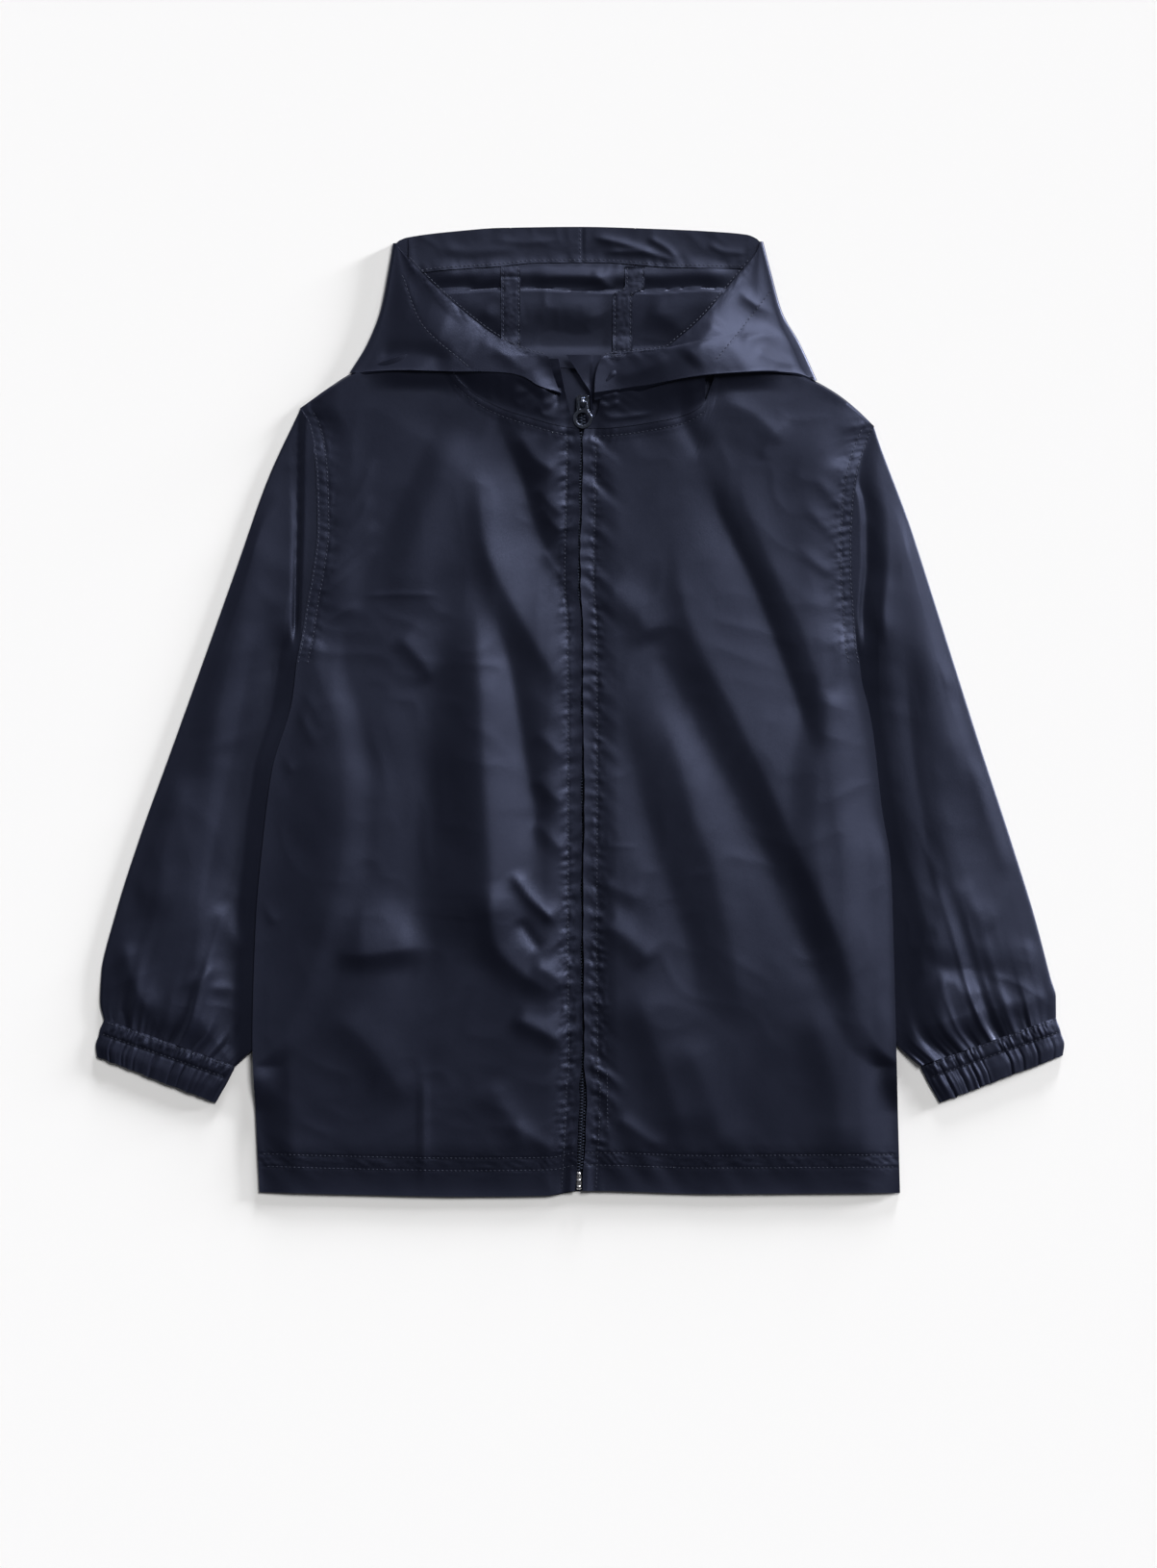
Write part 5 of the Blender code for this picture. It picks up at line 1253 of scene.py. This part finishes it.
def hood_side(side):
    """A side of the hood: its lower layer, the fold along the silhouette, and its upper layer.

    The upper layer ends in the rim of the face opening, and rolls under along the lip.
    """
    down = graded(HOOD_ROWS, 1.0, 1.1)[:, None]
    silhouette = along(side.hood.silhouette, down[:, 0])[:, None]
    under = np.concatenate([hood_lower_layer(side, down, silhouette),
                            hood_side_fold(silhouette)], 1)
    share = np.linspace(0, 1, HOOD_UPPER_COLUMNS)[None, 1:]
    upper = hood_upper(side, *np.broadcast_arrays(down, share))
    lip = hood_lip(side, upper[-1:])
    # The lip has no cells below the under layer, only points that fill up its rows
    spare = np.repeat(under[-1:], LIP_ROWS, 0)
    spare[..., 1] -= np.arange(1, LIP_ROWS + 1)[:, None]
    grid = np.concatenate([np.concatenate([under, spare]), np.concatenate([upper, lip])], 1)
    grid[..., 0] *= side.sign
    row, column = np.indices((grid.shape[0] - 1, grid.shape[1] - 1))
    keep = (row < HOOD_ROWS - 1) | (column >= under.shape[1])
    cloth("hood_side", grid, side, keep=keep)
    stitching(f"hood_{side.name}_stitching", rim_seams(side))


def rim_seams(side):
    """A row of stitches along the rim of the face opening, and a second one further in."""
    steps = np.linspace(0, 1, 120)
    down, share = np.meshgrid(steps, steps, indexing="ij")
    cloth_points = hood_upper(side, down, share).reshape(-1, 3)
    rim = rim_path(side)
    inward = np.gradient(rim, axis=0)[:, ::-1] * (1, -1)
    inward *= -np.sign(inward[:1, :1]) / np.linalg.norm(inward, axis=1, keepdims=True)
    rows = []
    for path in (rim[2:] + RIM_ROW * inward[2:], side.hood.second_row):
        path = along(path, steps)
        apart = ((path[:, None] - cloth_points[None, :, :2]) ** 2).sum(-1)
        weight = 1 / (apart + 0.05) ** 2
        z = (weight * cloth_points[:, 2]).sum(1) / weight.sum(1) + SHELL / 2
        rows.append(surface(side.sign * path[:, 0], path[:, 1], z))
    return rows


def notch(out, y, start, side):
    """How deep the cloth lies in the dark gap between the right hood side and the zip guard."""
    if side.name == "left":
        return 0.0
    rim_front = [(up, rim_out) for rim_out, up in reversed(side.hood.rim[RIM_ROWS - 1:])]
    front_edge = through(y, rim_front) + NOTCH_PAST
    falling = np.clip((out - start) / (front_edge - start), 0, 1)
    beyond = rising(out, front_edge, front_edge + NOTCH_END - NOTCH_PAST)
    return NOTCH_DEPTH * falling * (1 - beyond) * rising(y, *NOTCH_BOTTOM)


def hood_neck(side):
    """The foot of a hood side, from the neck seam up to where it turns under the lip."""
    def inner(y):
        return placket_edge(y, side)

    seam_x, seam_y = body_grid(side, np.linspace(0.4, 1, 110), np.ones(1), inner, side.neck)
    sewn = seam_x[0] < FOOT_REACH
    low_x, low_y = seam_x[:, sewn], seam_y[:, sewn] + SEAM_GAP
    up = np.linspace(0, 1, 34)[:, None]
    y = mix(low_y, FOOT_TOP_Y, up)
    lean = through(y, side.hood.neck_lean) * ease(5 * up)
    out = low_x + lean * ease(1 - low_x / FOOT_REACH)
    x = side.sign * out
    start = inner(low_y)
    seed = SEEDS[side.name] + FOOT_SEED
    rays = ladder(y + NECK_GATHER_SLANT * (low_x - start), low_x - start, NECK_GATHER_PITCH,
                  NECK_GATHER_REACH, 0.0, seed)
    folds = NECK_GATHER * rays + 0.4 * rumple(x, y, 15, seed + 1)
    folds = folds + crease_height(x, y, COLLAR_CREASES[side.name])
    up_slope = np.clip(low_x - FOOT_SLOPE_FROM, 0, FOOT_SLOPE_REACH)
    top = FOOT_TOP[side.name] + FOOT_SLOPE[side.name] * up_slope
    z = mix(front_height(x, low_y, side, fine=False), top, ease(1.1 * up)) + CLOTH / 2
    z = z - notch(out, y, start, side)
    z = z + folds * rising(up, 0.02, 0.25) * (1 - rising(up, 0.75, 1.0))
    cloth("hood_neck", surface(x, y, z), side)


def hood_middle():
    """The strip between the two felled seams, from the rim to the back's neck seam."""
    down = graded(90)[:, None]
    edges = [side.sign * (through(felled_seam_y(side, down), side.hood.seam) - SEAM_GAP / 2)
             for side in SIDES]
    x = mix(*edges, np.linspace(0, 1, 60)[None])
    y = mix(through(x, HOOD_TOP), lower_edge(np.abs(x), LEFT), down)
    cloth("hood_middle", inside_layer(x, y), None, *INSIDE)


def facing_point(x, down):
    """Middle of the turned hem's wall: down runs from the rim to its stitched edge."""
    stitched = through(x, FACING_EDGE)
    y = mix(through(x, HOOD_TOP) - 2 * FACING_LIFT, stitched, down)
    relief = crease_height(x, y, FACING_CREASES) + 0.25 * rumple(x, y, 16, 81)
    relief += ripples("facing", x, y - stitched, 0)
    relief -= FACING_JOIN_DEPTH * groove(x - FACING_JOIN, 1.0)
    lift = FACING_LIFT + CLOTH / 2 + np.maximum(relief, -FACING_DEEPEST)
    return surface(x, y, hood_floor(x, y) + CLOTH + lift + FACING_TILT * (1 - down))


def hood_facing():
    """The turned hem that shows inside the rim at the top of the hood."""
    x, down = np.meshgrid(np.linspace(FACING_EDGE[0][0], FACING_EDGE[-1][0], 180),
                          np.linspace(0, 1, 20))
    cloth("hood_facing", facing_point(x, down), None, *INSIDE)
    edge_row = facing_point(np.linspace(*FACING_STITCHED, 240), np.full(240, FACING_ROW))
    join_row = facing_point(np.full(30, FACING_JOIN - JOIN_ROW), np.linspace(*JOIN_STITCHED, 30))
    stitching("hood_facing_stitching", [edge_row + ON_TOP, join_row + ON_TOP])


def fell_point(side, across, y):
    """Middle of a felled seam's wall, across in millimetres from its own middle."""
    x = side.sign * (through(y, side.hood.seam) + across)
    below = np.maximum(hood_floor(x, y), hood_floor(x, y - FELL_BRIDGE))
    seed = 90 + len(side.name)
    relief = 0.15 * puckers(y, 0 * y, 4, 10, 0, seed) + 0.12 * lattice(x, 0.8 * y, 1.6, seed + 5)
    relief += ripples("fell", y, np.abs(across), seed) - pressed("fell", np.abs(across))
    lift = FACING_LIFT + CLOTH / 2 + np.maximum(relief, -FACING_DEEPEST)
    return surface(x, y, below + CLOTH + lift)


def hood_fell(side):
    """A felled seam on the inside of the hood, over the join of its side and middle."""
    across, y = np.meshgrid(np.linspace(-0.5, 0.5, 16) * FELL_WIDTH,
                            mix(FELL_TOP, FELL_BOTTOM, np.linspace(0, 1, 64)))
    cloth("hood_fell", fell_point(side, across, y), side, *INSIDE)
    run = np.linspace(FELL_TOP - 1, FELL_BOTTOM, 80)
    stitching(f"hood_fell_{side.name}_stitching",
              [fell_point(side, np.full(80, at), run) + ON_TOP for at in (-FELL_ROW, FELL_ROW)])


def zip_guard():
    """The folded guard behind the top of the zip, wide at the rim and narrow at the slider."""
    share, down = np.meshgrid(np.linspace(0, 1, 24), np.linspace(0, 1, 40))
    y, z = (mix(top, bottom, down) for top, bottom in zip(GUARD_TOP, GUARD_BOTTOM))
    x = mix(through(y, GUARD_RIGHT_EDGE), through(y, GUARD_LEFT_EDGE), share)
    bow = GUARD_BOW * np.sin(np.pi * share) * (1 - down)
    fold = GUARD_LEAN * (0.5 - share) - GUARD_FOLD * rising(share, *GUARD_FOLD_AT)
    z = z + bow + fold * (1 - 0.6 * down) + CLOTH / 2
    cloth("zip_guard", surface(x, y, z))


# ---------------------------------------------------------------- zip


def blocks(middles, size, squareness=0.45, around=8, stacks=4):
    """Points and faces of rounded blocks of one size, round these middles."""
    turn = np.linspace(0, 2 * np.pi, around, endpoint=False)[None]
    tilt = np.linspace(-np.pi / 2, np.pi / 2, stacks + 1)[:, None]

    def squared(value):
        return np.sign(value) * np.abs(value) ** squareness

    ball = surface(squared(np.cos(tilt)) * squared(np.cos(turn)),
                   squared(np.cos(tilt)) * squared(np.sin(turn)), squared(np.sin(tilt)))
    block = (ball * np.array(size) / 2).reshape(-1, 3)
    number = np.arange(len(block)).reshape(stacks + 1, around)
    after = np.roll(number, -1, 1)
    faces = np.stack([number[:-1], after[:-1], after[1:], number[1:]], -1).reshape(-1, 4)
    middles = np.asarray(middles, float)
    points = (middles[:, None] + block[None]).reshape(-1, 3)
    steps = np.arange(len(middles))[:, None, None] * len(block)
    return points, (faces[None] + steps).reshape(-1, 4)


def zip_tape(side):
    """A ribbed woven strip beside the teeth."""
    inner = CHAIN_WIDTH / 2 + SEAM_GAP
    out, y = np.meshgrid(np.linspace(inner, inner + TAPE_WIDTH, 9),
                         np.linspace(TAPE_BOTTOM, TAPE_TOP, 120))
    rib = TAPE_RIB * np.cos(2 * np.pi * out / TAPE_RIB_PITCH)
    grid = surface(centre_front(y) + side.sign * out, y, TAPE_MIDDLE + rib)
    cloth("zip_tape", grid, side, "zip_tape_weave", "zip_tape", thick=TAPE_THICK)


def zip_teeth():
    """Two rows of teeth that mesh along the centre front."""
    along_zip = np.arange(CHAIN_BOTTOM + 1, CHAIN_TOP - 1, TOOTH_PITCH)
    middles = []
    for shift, step in ((-TOOTH_SHIFT, 0), (TOOTH_SHIFT, TOOTH_PITCH / 2)):
        y = along_zip + step
        middles.append(surface(centre_front(y) + shift, y, TOOTH_MIDDLE))
    points, faces = blocks(np.concatenate(middles), TOOTH_SIZE)
    piece = object_of("zip_teeth", points, faces, finish("zip_teeth_resin"), "zip_teeth")
    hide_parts("zip_chain")


def zip_stop():
    """The pressed metal clip that ends the teeth, with a rib at each end and one between them."""
    x, y = STOP_MIDDLE
    high = STOP_HIGH - CHAIN_LOW
    middle = CHAIN_LOW + high / 2
    clip = (STOP_WIDTH, STOP_LENGTH, high - STOP_RIB_RISE)
    rib = (STOP_WIDTH * STOP_RIB_SHARE, STOP_RIB_LENGTH, high)
    clip_points, clip_faces = blocks([(x, y, middle - STOP_RIB_RISE / 2)], clip, 0.3, 24, 12)
    rib_points, rib_faces = blocks([(x, y + at, middle) for at in STOP_RIBS], rib, 0.6, 24, 12)
    piece = object_of("zip_stop_clip", np.concatenate([clip_points, rib_points]),
                      np.concatenate([clip_faces, rib_faces + len(clip_points)]),
                      finish("stop_silver"), "zip_silver")
    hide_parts("zip_stop")


def plate(name, loops, low, high, bevel, body="coat"):
    """A flat gunmetal plate with rounded edges between two heights.

    The first loop is its outline, and the others are holes.
    """
    mesh = bmesh.new()
    rims = []
    for height in (low, high):
        edges = []
        for loop in loops:
            verts = [mesh.verts.new((x * MM, y * MM, height * MM)) for x, y in loop]
            edges += [mesh.edges.new(pair) for pair in zip(verts, verts[1:] + verts[:1])]
        bmesh.ops.triangle_fill(mesh, use_beauty=True, edges=edges)
        rims.append(edges)
    for lower, upper in zip(*rims):
        a, b = lower.verts
        c, d = upper.verts
        mesh.faces.new([a, b, d, c])
    bmesh.ops.recalc_face_normals(mesh, faces=mesh.faces)
    data = bpy.data.meshes.new(name)
    mesh.to_mesh(data)
    mesh.free()
    piece = placed(name, data, finish("slider_gunmetal"), body)
    edge = piece.modifiers.new("rounded_edges", "BEVEL")
    edge.width = bevel * MM
    edge.segments = 3
    edge.limit_method = "ANGLE"
    edge.angle_limit = SHARP_ANGLE
    edge.harden_normals = True
    return piece


def rounded(x, y, width, length, corner, steps=6):
    """Corner-rounded rectangle round (x, y)."""
    points = []
    for quarter, (a, b) in enumerate([(1, 1), (-1, 1), (-1, -1), (1, -1)]):
        centre_x = x + a * (width / 2 - corner)
        centre_y = y + b * (length / 2 - corner)
        for step in range(steps + 1):
            angle = np.pi / 2 * (quarter + step / steps)
            points.append((centre_x + corner * np.cos(angle), centre_y + corner * np.sin(angle)))
    return points


def arc(x, y, across, start, end, points):
    """Points on a circle of this diameter round (x, y), between two angles in degrees."""
    angles = np.radians(np.linspace(start, end, points))
    return [(x + across / 2 * np.cos(a), y + across / 2 * np.sin(a)) for a in angles]


def zip_slider():
    """The slider's body with its rounded cap, and the bridge that the pull tab swings in."""
    x, y, _ = PIVOT
    outline = rounded(x, y - SLIDER_SET_BACK, SLIDER_WIDTH, SLIDER_LENGTH, SLIDER_CORNER)
    cap = plate("slider_body", [outline], SLIDER_LOW, SLIDER_HIGH, SLIDER_BEVEL)
    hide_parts("zip_slider")
    turn = np.linspace(0, np.pi, 25)[:, None]
    across, inset = np.array(BRIDGE_RIBS).T
    arch = surface(x + across, y + (BRIDGE_REACH - inset) * np.cos(turn),
                   SLIDER_HIGH - BRIDGE_SINK + (BRIDGE_RISE - inset) * np.sin(turn) ** BRIDGE_ROUND)
    shell("slider_bridge", arch, finish("slider_gunmetal"), "zip_gunmetal", 0.9 * BRIDGE_THICK)


def zip_pull():
    """The tab: a bar that turns in the bridge, a neck on each side of it, and a ring to grip."""
    x, y, z = PIVOT
    top = y + PULL_PAST_PIVOT
    ring_y = top - PULL_LENGTH + PULL_RING / 2
    half = PULL_TOP_WIDTH / 2
    neck = [(PULL_NECK_WIDTH / 2, y - PULL_SHOULDER), (half, top - PULL_CORNER),
            (half - PULL_CORNER, top)]
    outline = arc(x, ring_y, PULL_RING, *PULL_RING_ANGLES, 49)
    outline += [(x + out, up) for out, up in neck] + [(x - out, up) for out, up in neck[::-1]]
    window = rounded(x, y - PULL_WINDOW_DOWN, *PULL_WINDOW, PULL_WINDOW_CORNER, 4)
    eye = arc(x, ring_y, PULL_HOLE, 0, 351, 40)
    tab = plate("pull_tab", [outline, window, eye], z - PULL_THICK / 2, z + PULL_THICK / 2,
                PULL_BEVEL, "pull")
    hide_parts("zip_pull")


def thread_ends():
    """The loose ends of thread where the rim's stitching stops beside the zip guard."""
    rng = np.random.default_rng(17)
    t = np.linspace(0, 1, 9)
    paths = []
    for _ in range(TUFT_ENDS):
        start = np.array(TUFT) + rng.normal(0, TUFT_SPREAD)
        reach = rng.uniform(*TUFT_REACH)
        heading = rng.uniform(-TUFT_HEADING, TUFT_HEADING)
        heading += 0 if rng.random() < TUFT_FORWARD else np.pi
        turned = heading + rng.uniform(-TUFT_CURL, TUFT_CURL) * t
        paths.append(start + np.stack([reach * t * np.cos(turned), 0.7 * reach * t * np.sin(turned),
                                       0.5 * np.sin(np.pi * t)], 1))
    paths = np.array(paths)
    run = unit(np.gradient(paths, axis=1))[:, :, None]
    side = unit(np.cross(run, [0.31, 0.17, 0.93]))
    angles = (2 * np.pi * np.arange(STITCH_SIDES) / STITCH_SIDES)[:, None]
    ring = TUFT_RADIUS * (np.cos(angles) * side + np.sin(angles) * np.cross(side, run))
    # The loose ends take the thread finish, which is paler than the cloth as a painted highlight.
    object_of("thread_ends", *round_threads(paths, ring), finish("sewing_thread"))


# ---------------------------------------------------------------- finishes


VALUE, COLOUR = "NodeSocketFloat", "NodeSocketColor"


def group(name, inputs, outputs):
    """An empty shader node group with these value or colour sockets."""
    tree = bpy.data.node_groups.new(name, "ShaderNodeTree")
    for label, kind, value in inputs:
        socket = tree.interface.new_socket(label, in_out="INPUT", socket_type=kind)
        socket.default_value = value
    for label, kind in outputs:
        tree.interface.new_socket(label, in_out="OUTPUT", socket_type=kind)
    return tree, tree.nodes.new("NodeGroupInput").outputs, tree.nodes.new("NodeGroupOutput").inputs


def node(tree, kind, links=(), **settings):
    """A new node with its settings, and its inputs linked to sockets or set to values."""
    made = tree.nodes.new("ShaderNode" + kind)
    for key, value in settings.items():
        setattr(made, key, value)
    for label, value in dict(links).items():
        if isinstance(value, bpy.types.NodeSocket):
            tree.links.new(value, made.inputs[label])
        else:
            made.inputs[label].default_value = value
    return made


def maths(tree, operation, *values):
    return node(tree, "Math", enumerate(values), operation=operation).outputs[0]


def place_on(tree):
    """Where a point is on its own piece, in metres."""
    return node(tree, "TexCoord").outputs["Object"]


def noise(tree, scale, detail, roughness, distortion=0.0):
    """Noise that stays with the piece, with this many spots to the metre."""
    return node(tree, "TexNoise", {"Vector": place_on(tree), "Scale": scale, "Detail": detail,
                                   "Roughness": roughness, "Distortion": distortion}).outputs[0]


@cache
def weave_group():
    """Plain weave: threads that pass over and under each other, this many to the metre."""
    tree, ins, outs = group("plain_weave", [("Threads", VALUE, 2000.0)], [("Height", VALUE)])
    axes = node(tree, "SeparateXYZ", {0: place_on(tree)}).outputs
    waves = []
    for axis in (0, 1):
        turns = maths(tree, "MULTIPLY", axes[axis], ins["Threads"])
        waves.append(maths(tree, "SINE", maths(tree, "MULTIPLY", turns, np.pi)))
    crossing = maths(tree, "MULTIPLY", *waves)
    tree.links.new(maths(tree, "MULTIPLY_ADD", crossing, 0.5, 0.5), outs["Height"])
    return tree


@cache
def crumple_group():
    """Fine creases left by folding, these metres apart, and how keen they are."""
    tree, ins, outs = group("fold_crumple", [("Size", VALUE, 0.02), ("Keenness", VALUE, 0.5)],
                            [("Height", VALUE)])
    scale = maths(tree, "DIVIDE", 1.0, ins["Size"])
    broad = noise(tree, scale, 3.0, 0.5, 0.9)
    small = noise(tree, maths(tree, "MULTIPLY", scale, 2.6), 2.0, 0.45, 1.4)
    folded = maths(tree, "ABSOLUTE", maths(tree, "SUBTRACT", small, 0.5))
    ridge = maths(tree, "POWER", maths(tree, "SUBTRACT", 1.0, folded), 6.0)
    bent = maths(tree, "MULTIPLY", ridge, ins["Keenness"])
    tree.links.new(maths(tree, "MULTIPLY_ADD", bent, 0.5, broad), outs["Height"])
    return tree


@cache
def dye_group():
    """Uneven dye: blends two colours in soft patches, and gives the patches as a mask too."""
    tree, ins, outs = group("uneven_dye", [("Pale", COLOUR, (1, 1, 1, 1)),
                                           ("Deep", COLOUR, (0, 0, 0, 1)), ("Size", VALUE, 0.1)],
                            [("Color", COLOUR), ("Patches", VALUE)])
    patches = noise(tree, maths(tree, "DIVIDE", 1.0, ins["Size"]), 4.0, 0.6)
    blend = node(tree, "Mix", {0: patches, 6: ins["Deep"], 7: ins["Pale"]}, data_type="RGBA")
    tree.links.new(blend.outputs[2], outs["Color"])
    tree.links.new(patches, outs["Patches"])
    return tree


@cache
def scuff_group():
    """Small rubbed spots and grain on hard pieces: a roughness and a height."""
    tree, ins, outs = group("scuffs", [("Scale", VALUE, 900.0), ("Smooth", VALUE, 0.25),
                                       ("Rubbed", VALUE, 0.5)],
                            [("Roughness", VALUE), ("Height", VALUE)])
    grain = noise(tree, ins["Scale"], 4.0, 0.65)
    gloss = node(tree, "MapRange", {"Value": grain, 1: 0.35, 2: 0.7, 3: ins["Smooth"],
                                    4: ins["Rubbed"]})
    tree.links.new(gloss.outputs[0], outs["Roughness"])
    tree.links.new(grain, outs["Height"])
    return tree


def grouped(tree, shared, **values):
    """Places a shared group in a material, with its own values."""
    made = tree.nodes.new("ShaderNodeGroup")
    made.node_tree = shared
    for label, value in values.items():
        made.inputs[label].default_value = value
    return made.outputs


def blank(name):
    """A new material, with its tree and the inputs of its Principled shader."""
    material = bpy.data.materials.new(name)
    material.use_nodes = True
    tree = material.node_tree
    return material, tree, tree.nodes["Principled BSDF"].inputs


def fit(tree, inputs, **values):
    """Sets shader inputs to values, or links them to sockets. A name's underscores are spaces."""
    for name, value in values.items():
        socket = inputs[name.replace("_", " ")]
        if isinstance(value, bpy.types.NodeSocket):
            tree.links.new(value, socket)
        else:
            socket.default_value = value


def bumps(tree, *layers):
    """Bump nodes in a chain, each from (height, strength, depth in millimetres)."""
    before = None
    for height, strength, depth in layers:
        links = {"Height": height, "Strength": strength, "Distance": depth * MM}
        if before is not None:
            links["Normal"] = before
        before = node(tree, "Bump", links).outputs["Normal"]
    return before


def cloth_finish(name, pale, deep, threads, crumple, gloss, specular, tint, sheen):
    """A woven finish with uneven dye, the creases of folding, and its own gloss."""
    material, tree, inputs = blank(name)
    dye = grouped(tree, dye_group(), Pale=(*pale, 1), Deep=(*deep, 1), Size=DYE_PATCHES)
    weave = grouped(tree, weave_group(), Threads=threads)
    creased = grouped(tree, crumple_group(), Size=CRUMPLE_SIZE, Keenness=CRUMPLE_KEENNESS)
    smooth, rough = gloss
    shine = node(tree, "MapRange", {"Value": dye["Patches"], 1: 0.3, 2: 0.7, 3: smooth, 4: rough})
    normal = bumps(tree, (creased["Height"], crumple, CRUMPLE_DEPTH),
                   (weave["Height"], WEAVE_SHARE, WEAVE_DEPTH))
    fit(tree, inputs, Base_Color=dye["Color"], Roughness=shine.outputs[0], Normal=normal,
        Specular_IOR_Level=specular, Specular_Tint=(*tint, 1), Sheen_Weight=sheen,
        Sheen_Roughness=SHEEN_ROUGHNESS, Sheen_Tint=(*SHEEN_TINT, 1))
    return material


def hard_finish(name, pale, deep, metallic, smooth, rubbed, scale, bump, tint):
    """A moulded or cast finish with grain and rubbed spots."""
    material, tree, inputs = blank(name)
    dye = grouped(tree, dye_group(), Pale=(*pale, 1), Deep=(*deep, 1), Size=FINE_DYE_PATCHES)
    scuffs = grouped(tree, scuff_group(), Scale=scale, Smooth=smooth, Rubbed=rubbed)
    fit(tree, inputs, Base_Color=dye["Color"], Roughness=scuffs["Roughness"],
        Normal=bumps(tree, (scuffs["Height"], bump, GRAIN_DEPTH)), Metallic=metallic,
        Specular_Tint=(*tint, 1))
    return material


@cache
def finish(name):
    """The material of this name, made when it is first asked for."""
    if name in CLOTH_FINISHES:
        return cloth_finish(name, *CLOTH_FINISHES[name])
    return hard_finish(name, *HARD_FINISHES[name])


# ---------------------------------------------------------------- studio


def floor():
    """A plain white sweep under the mac."""
    corners = [(-FLOOR_HALF, -FLOOR_HALF, FLOOR_Z), (FLOOR_HALF, -FLOOR_HALF, FLOOR_Z),
               (FLOOR_HALF, FLOOR_HALF, FLOOR_Z), (-FLOOR_HALF, FLOOR_HALF, FLOOR_Z)]
    data = bpy.data.meshes.new("floor")
    data.from_pydata(corners, [], [(0, 1, 2, 3)])
    material, tree, inputs = blank("floor_white")
    paper = node(tree, "TexNoise", {"Scale": FLOOR_PATCHES, "Detail": 2.0}).outputs[0]
    shade = node(tree, "MapRange", {"Value": paper, 3: FLOOR_WHITE - FLOOR_UNEVEN,
                                    4: FLOOR_WHITE + FLOOR_UNEVEN})
    fit(tree, inputs, Base_Color=shade.outputs[0], Roughness=FLOOR_ROUGHNESS,
        Specular_IOR_Level=FLOOR_SPECULAR)
    data.materials.append(material)
    piece = bpy.data.objects.new("floor", data)
    bpy.context.scene.collection.objects.link(piece)


def lamp(name, heading, height, strength, spread, colour):
    """A broad even light from a heading (degrees from +X towards +Y) and a height in degrees."""
    data = bpy.data.lights.new(name, "SUN")
    data.energy = strength
    data.angle = np.radians(spread)
    data.color = colour
    piece = bpy.data.objects.new(name, data)
    piece.rotation_euler = (0, np.radians(90 - height), np.radians(heading))
    bpy.context.scene.collection.objects.link(piece)


def studio():
    """White floor, a soft key and low lamps from the upper right, and a camera straight above."""
    floor()
    for settings in LAMPS:
        lamp(*settings)
    world = bpy.data.worlds.new("studio")
    world.use_nodes = True
    shade = world.node_tree.nodes["Background"]
    shade.inputs["Color"].default_value = (*SKY_COLOUR, 1)
    shade.inputs["Strength"].default_value = SKY_STRENGTH
    scene = bpy.context.scene
    scene.world = world
    scene.view_settings.view_transform = "Standard"
    data = bpy.data.cameras.new("camera")
    data.sensor_width = SENSOR
    data.lens = SENSOR * CAMERA_HEIGHT / (IMAGE_PIXELS[1] * PIXEL)
    data.clip_end = FARTHEST_SEEN
    camera = bpy.data.objects.new("camera", data)
    camera.location = (CAMERA_X * MM, CAMERA_Y * MM, CAMERA_HEIGHT * MM)
    scene.collection.objects.link(camera)
    scene.camera = camera


def main():
    back()
    for side in SIDES:
        front(side)
        sleeve(side)
        cuff(side)
        hood_side(side)
        hood_neck(side)
        hood_fell(side)
        zip_tape(side)
    hood_middle()
    hood_facing()
    zip_teeth()
    zip_stop()
    zip_slider()
    zip_pull()
    zip_guard()
    thread_ends()
    studio()


main()
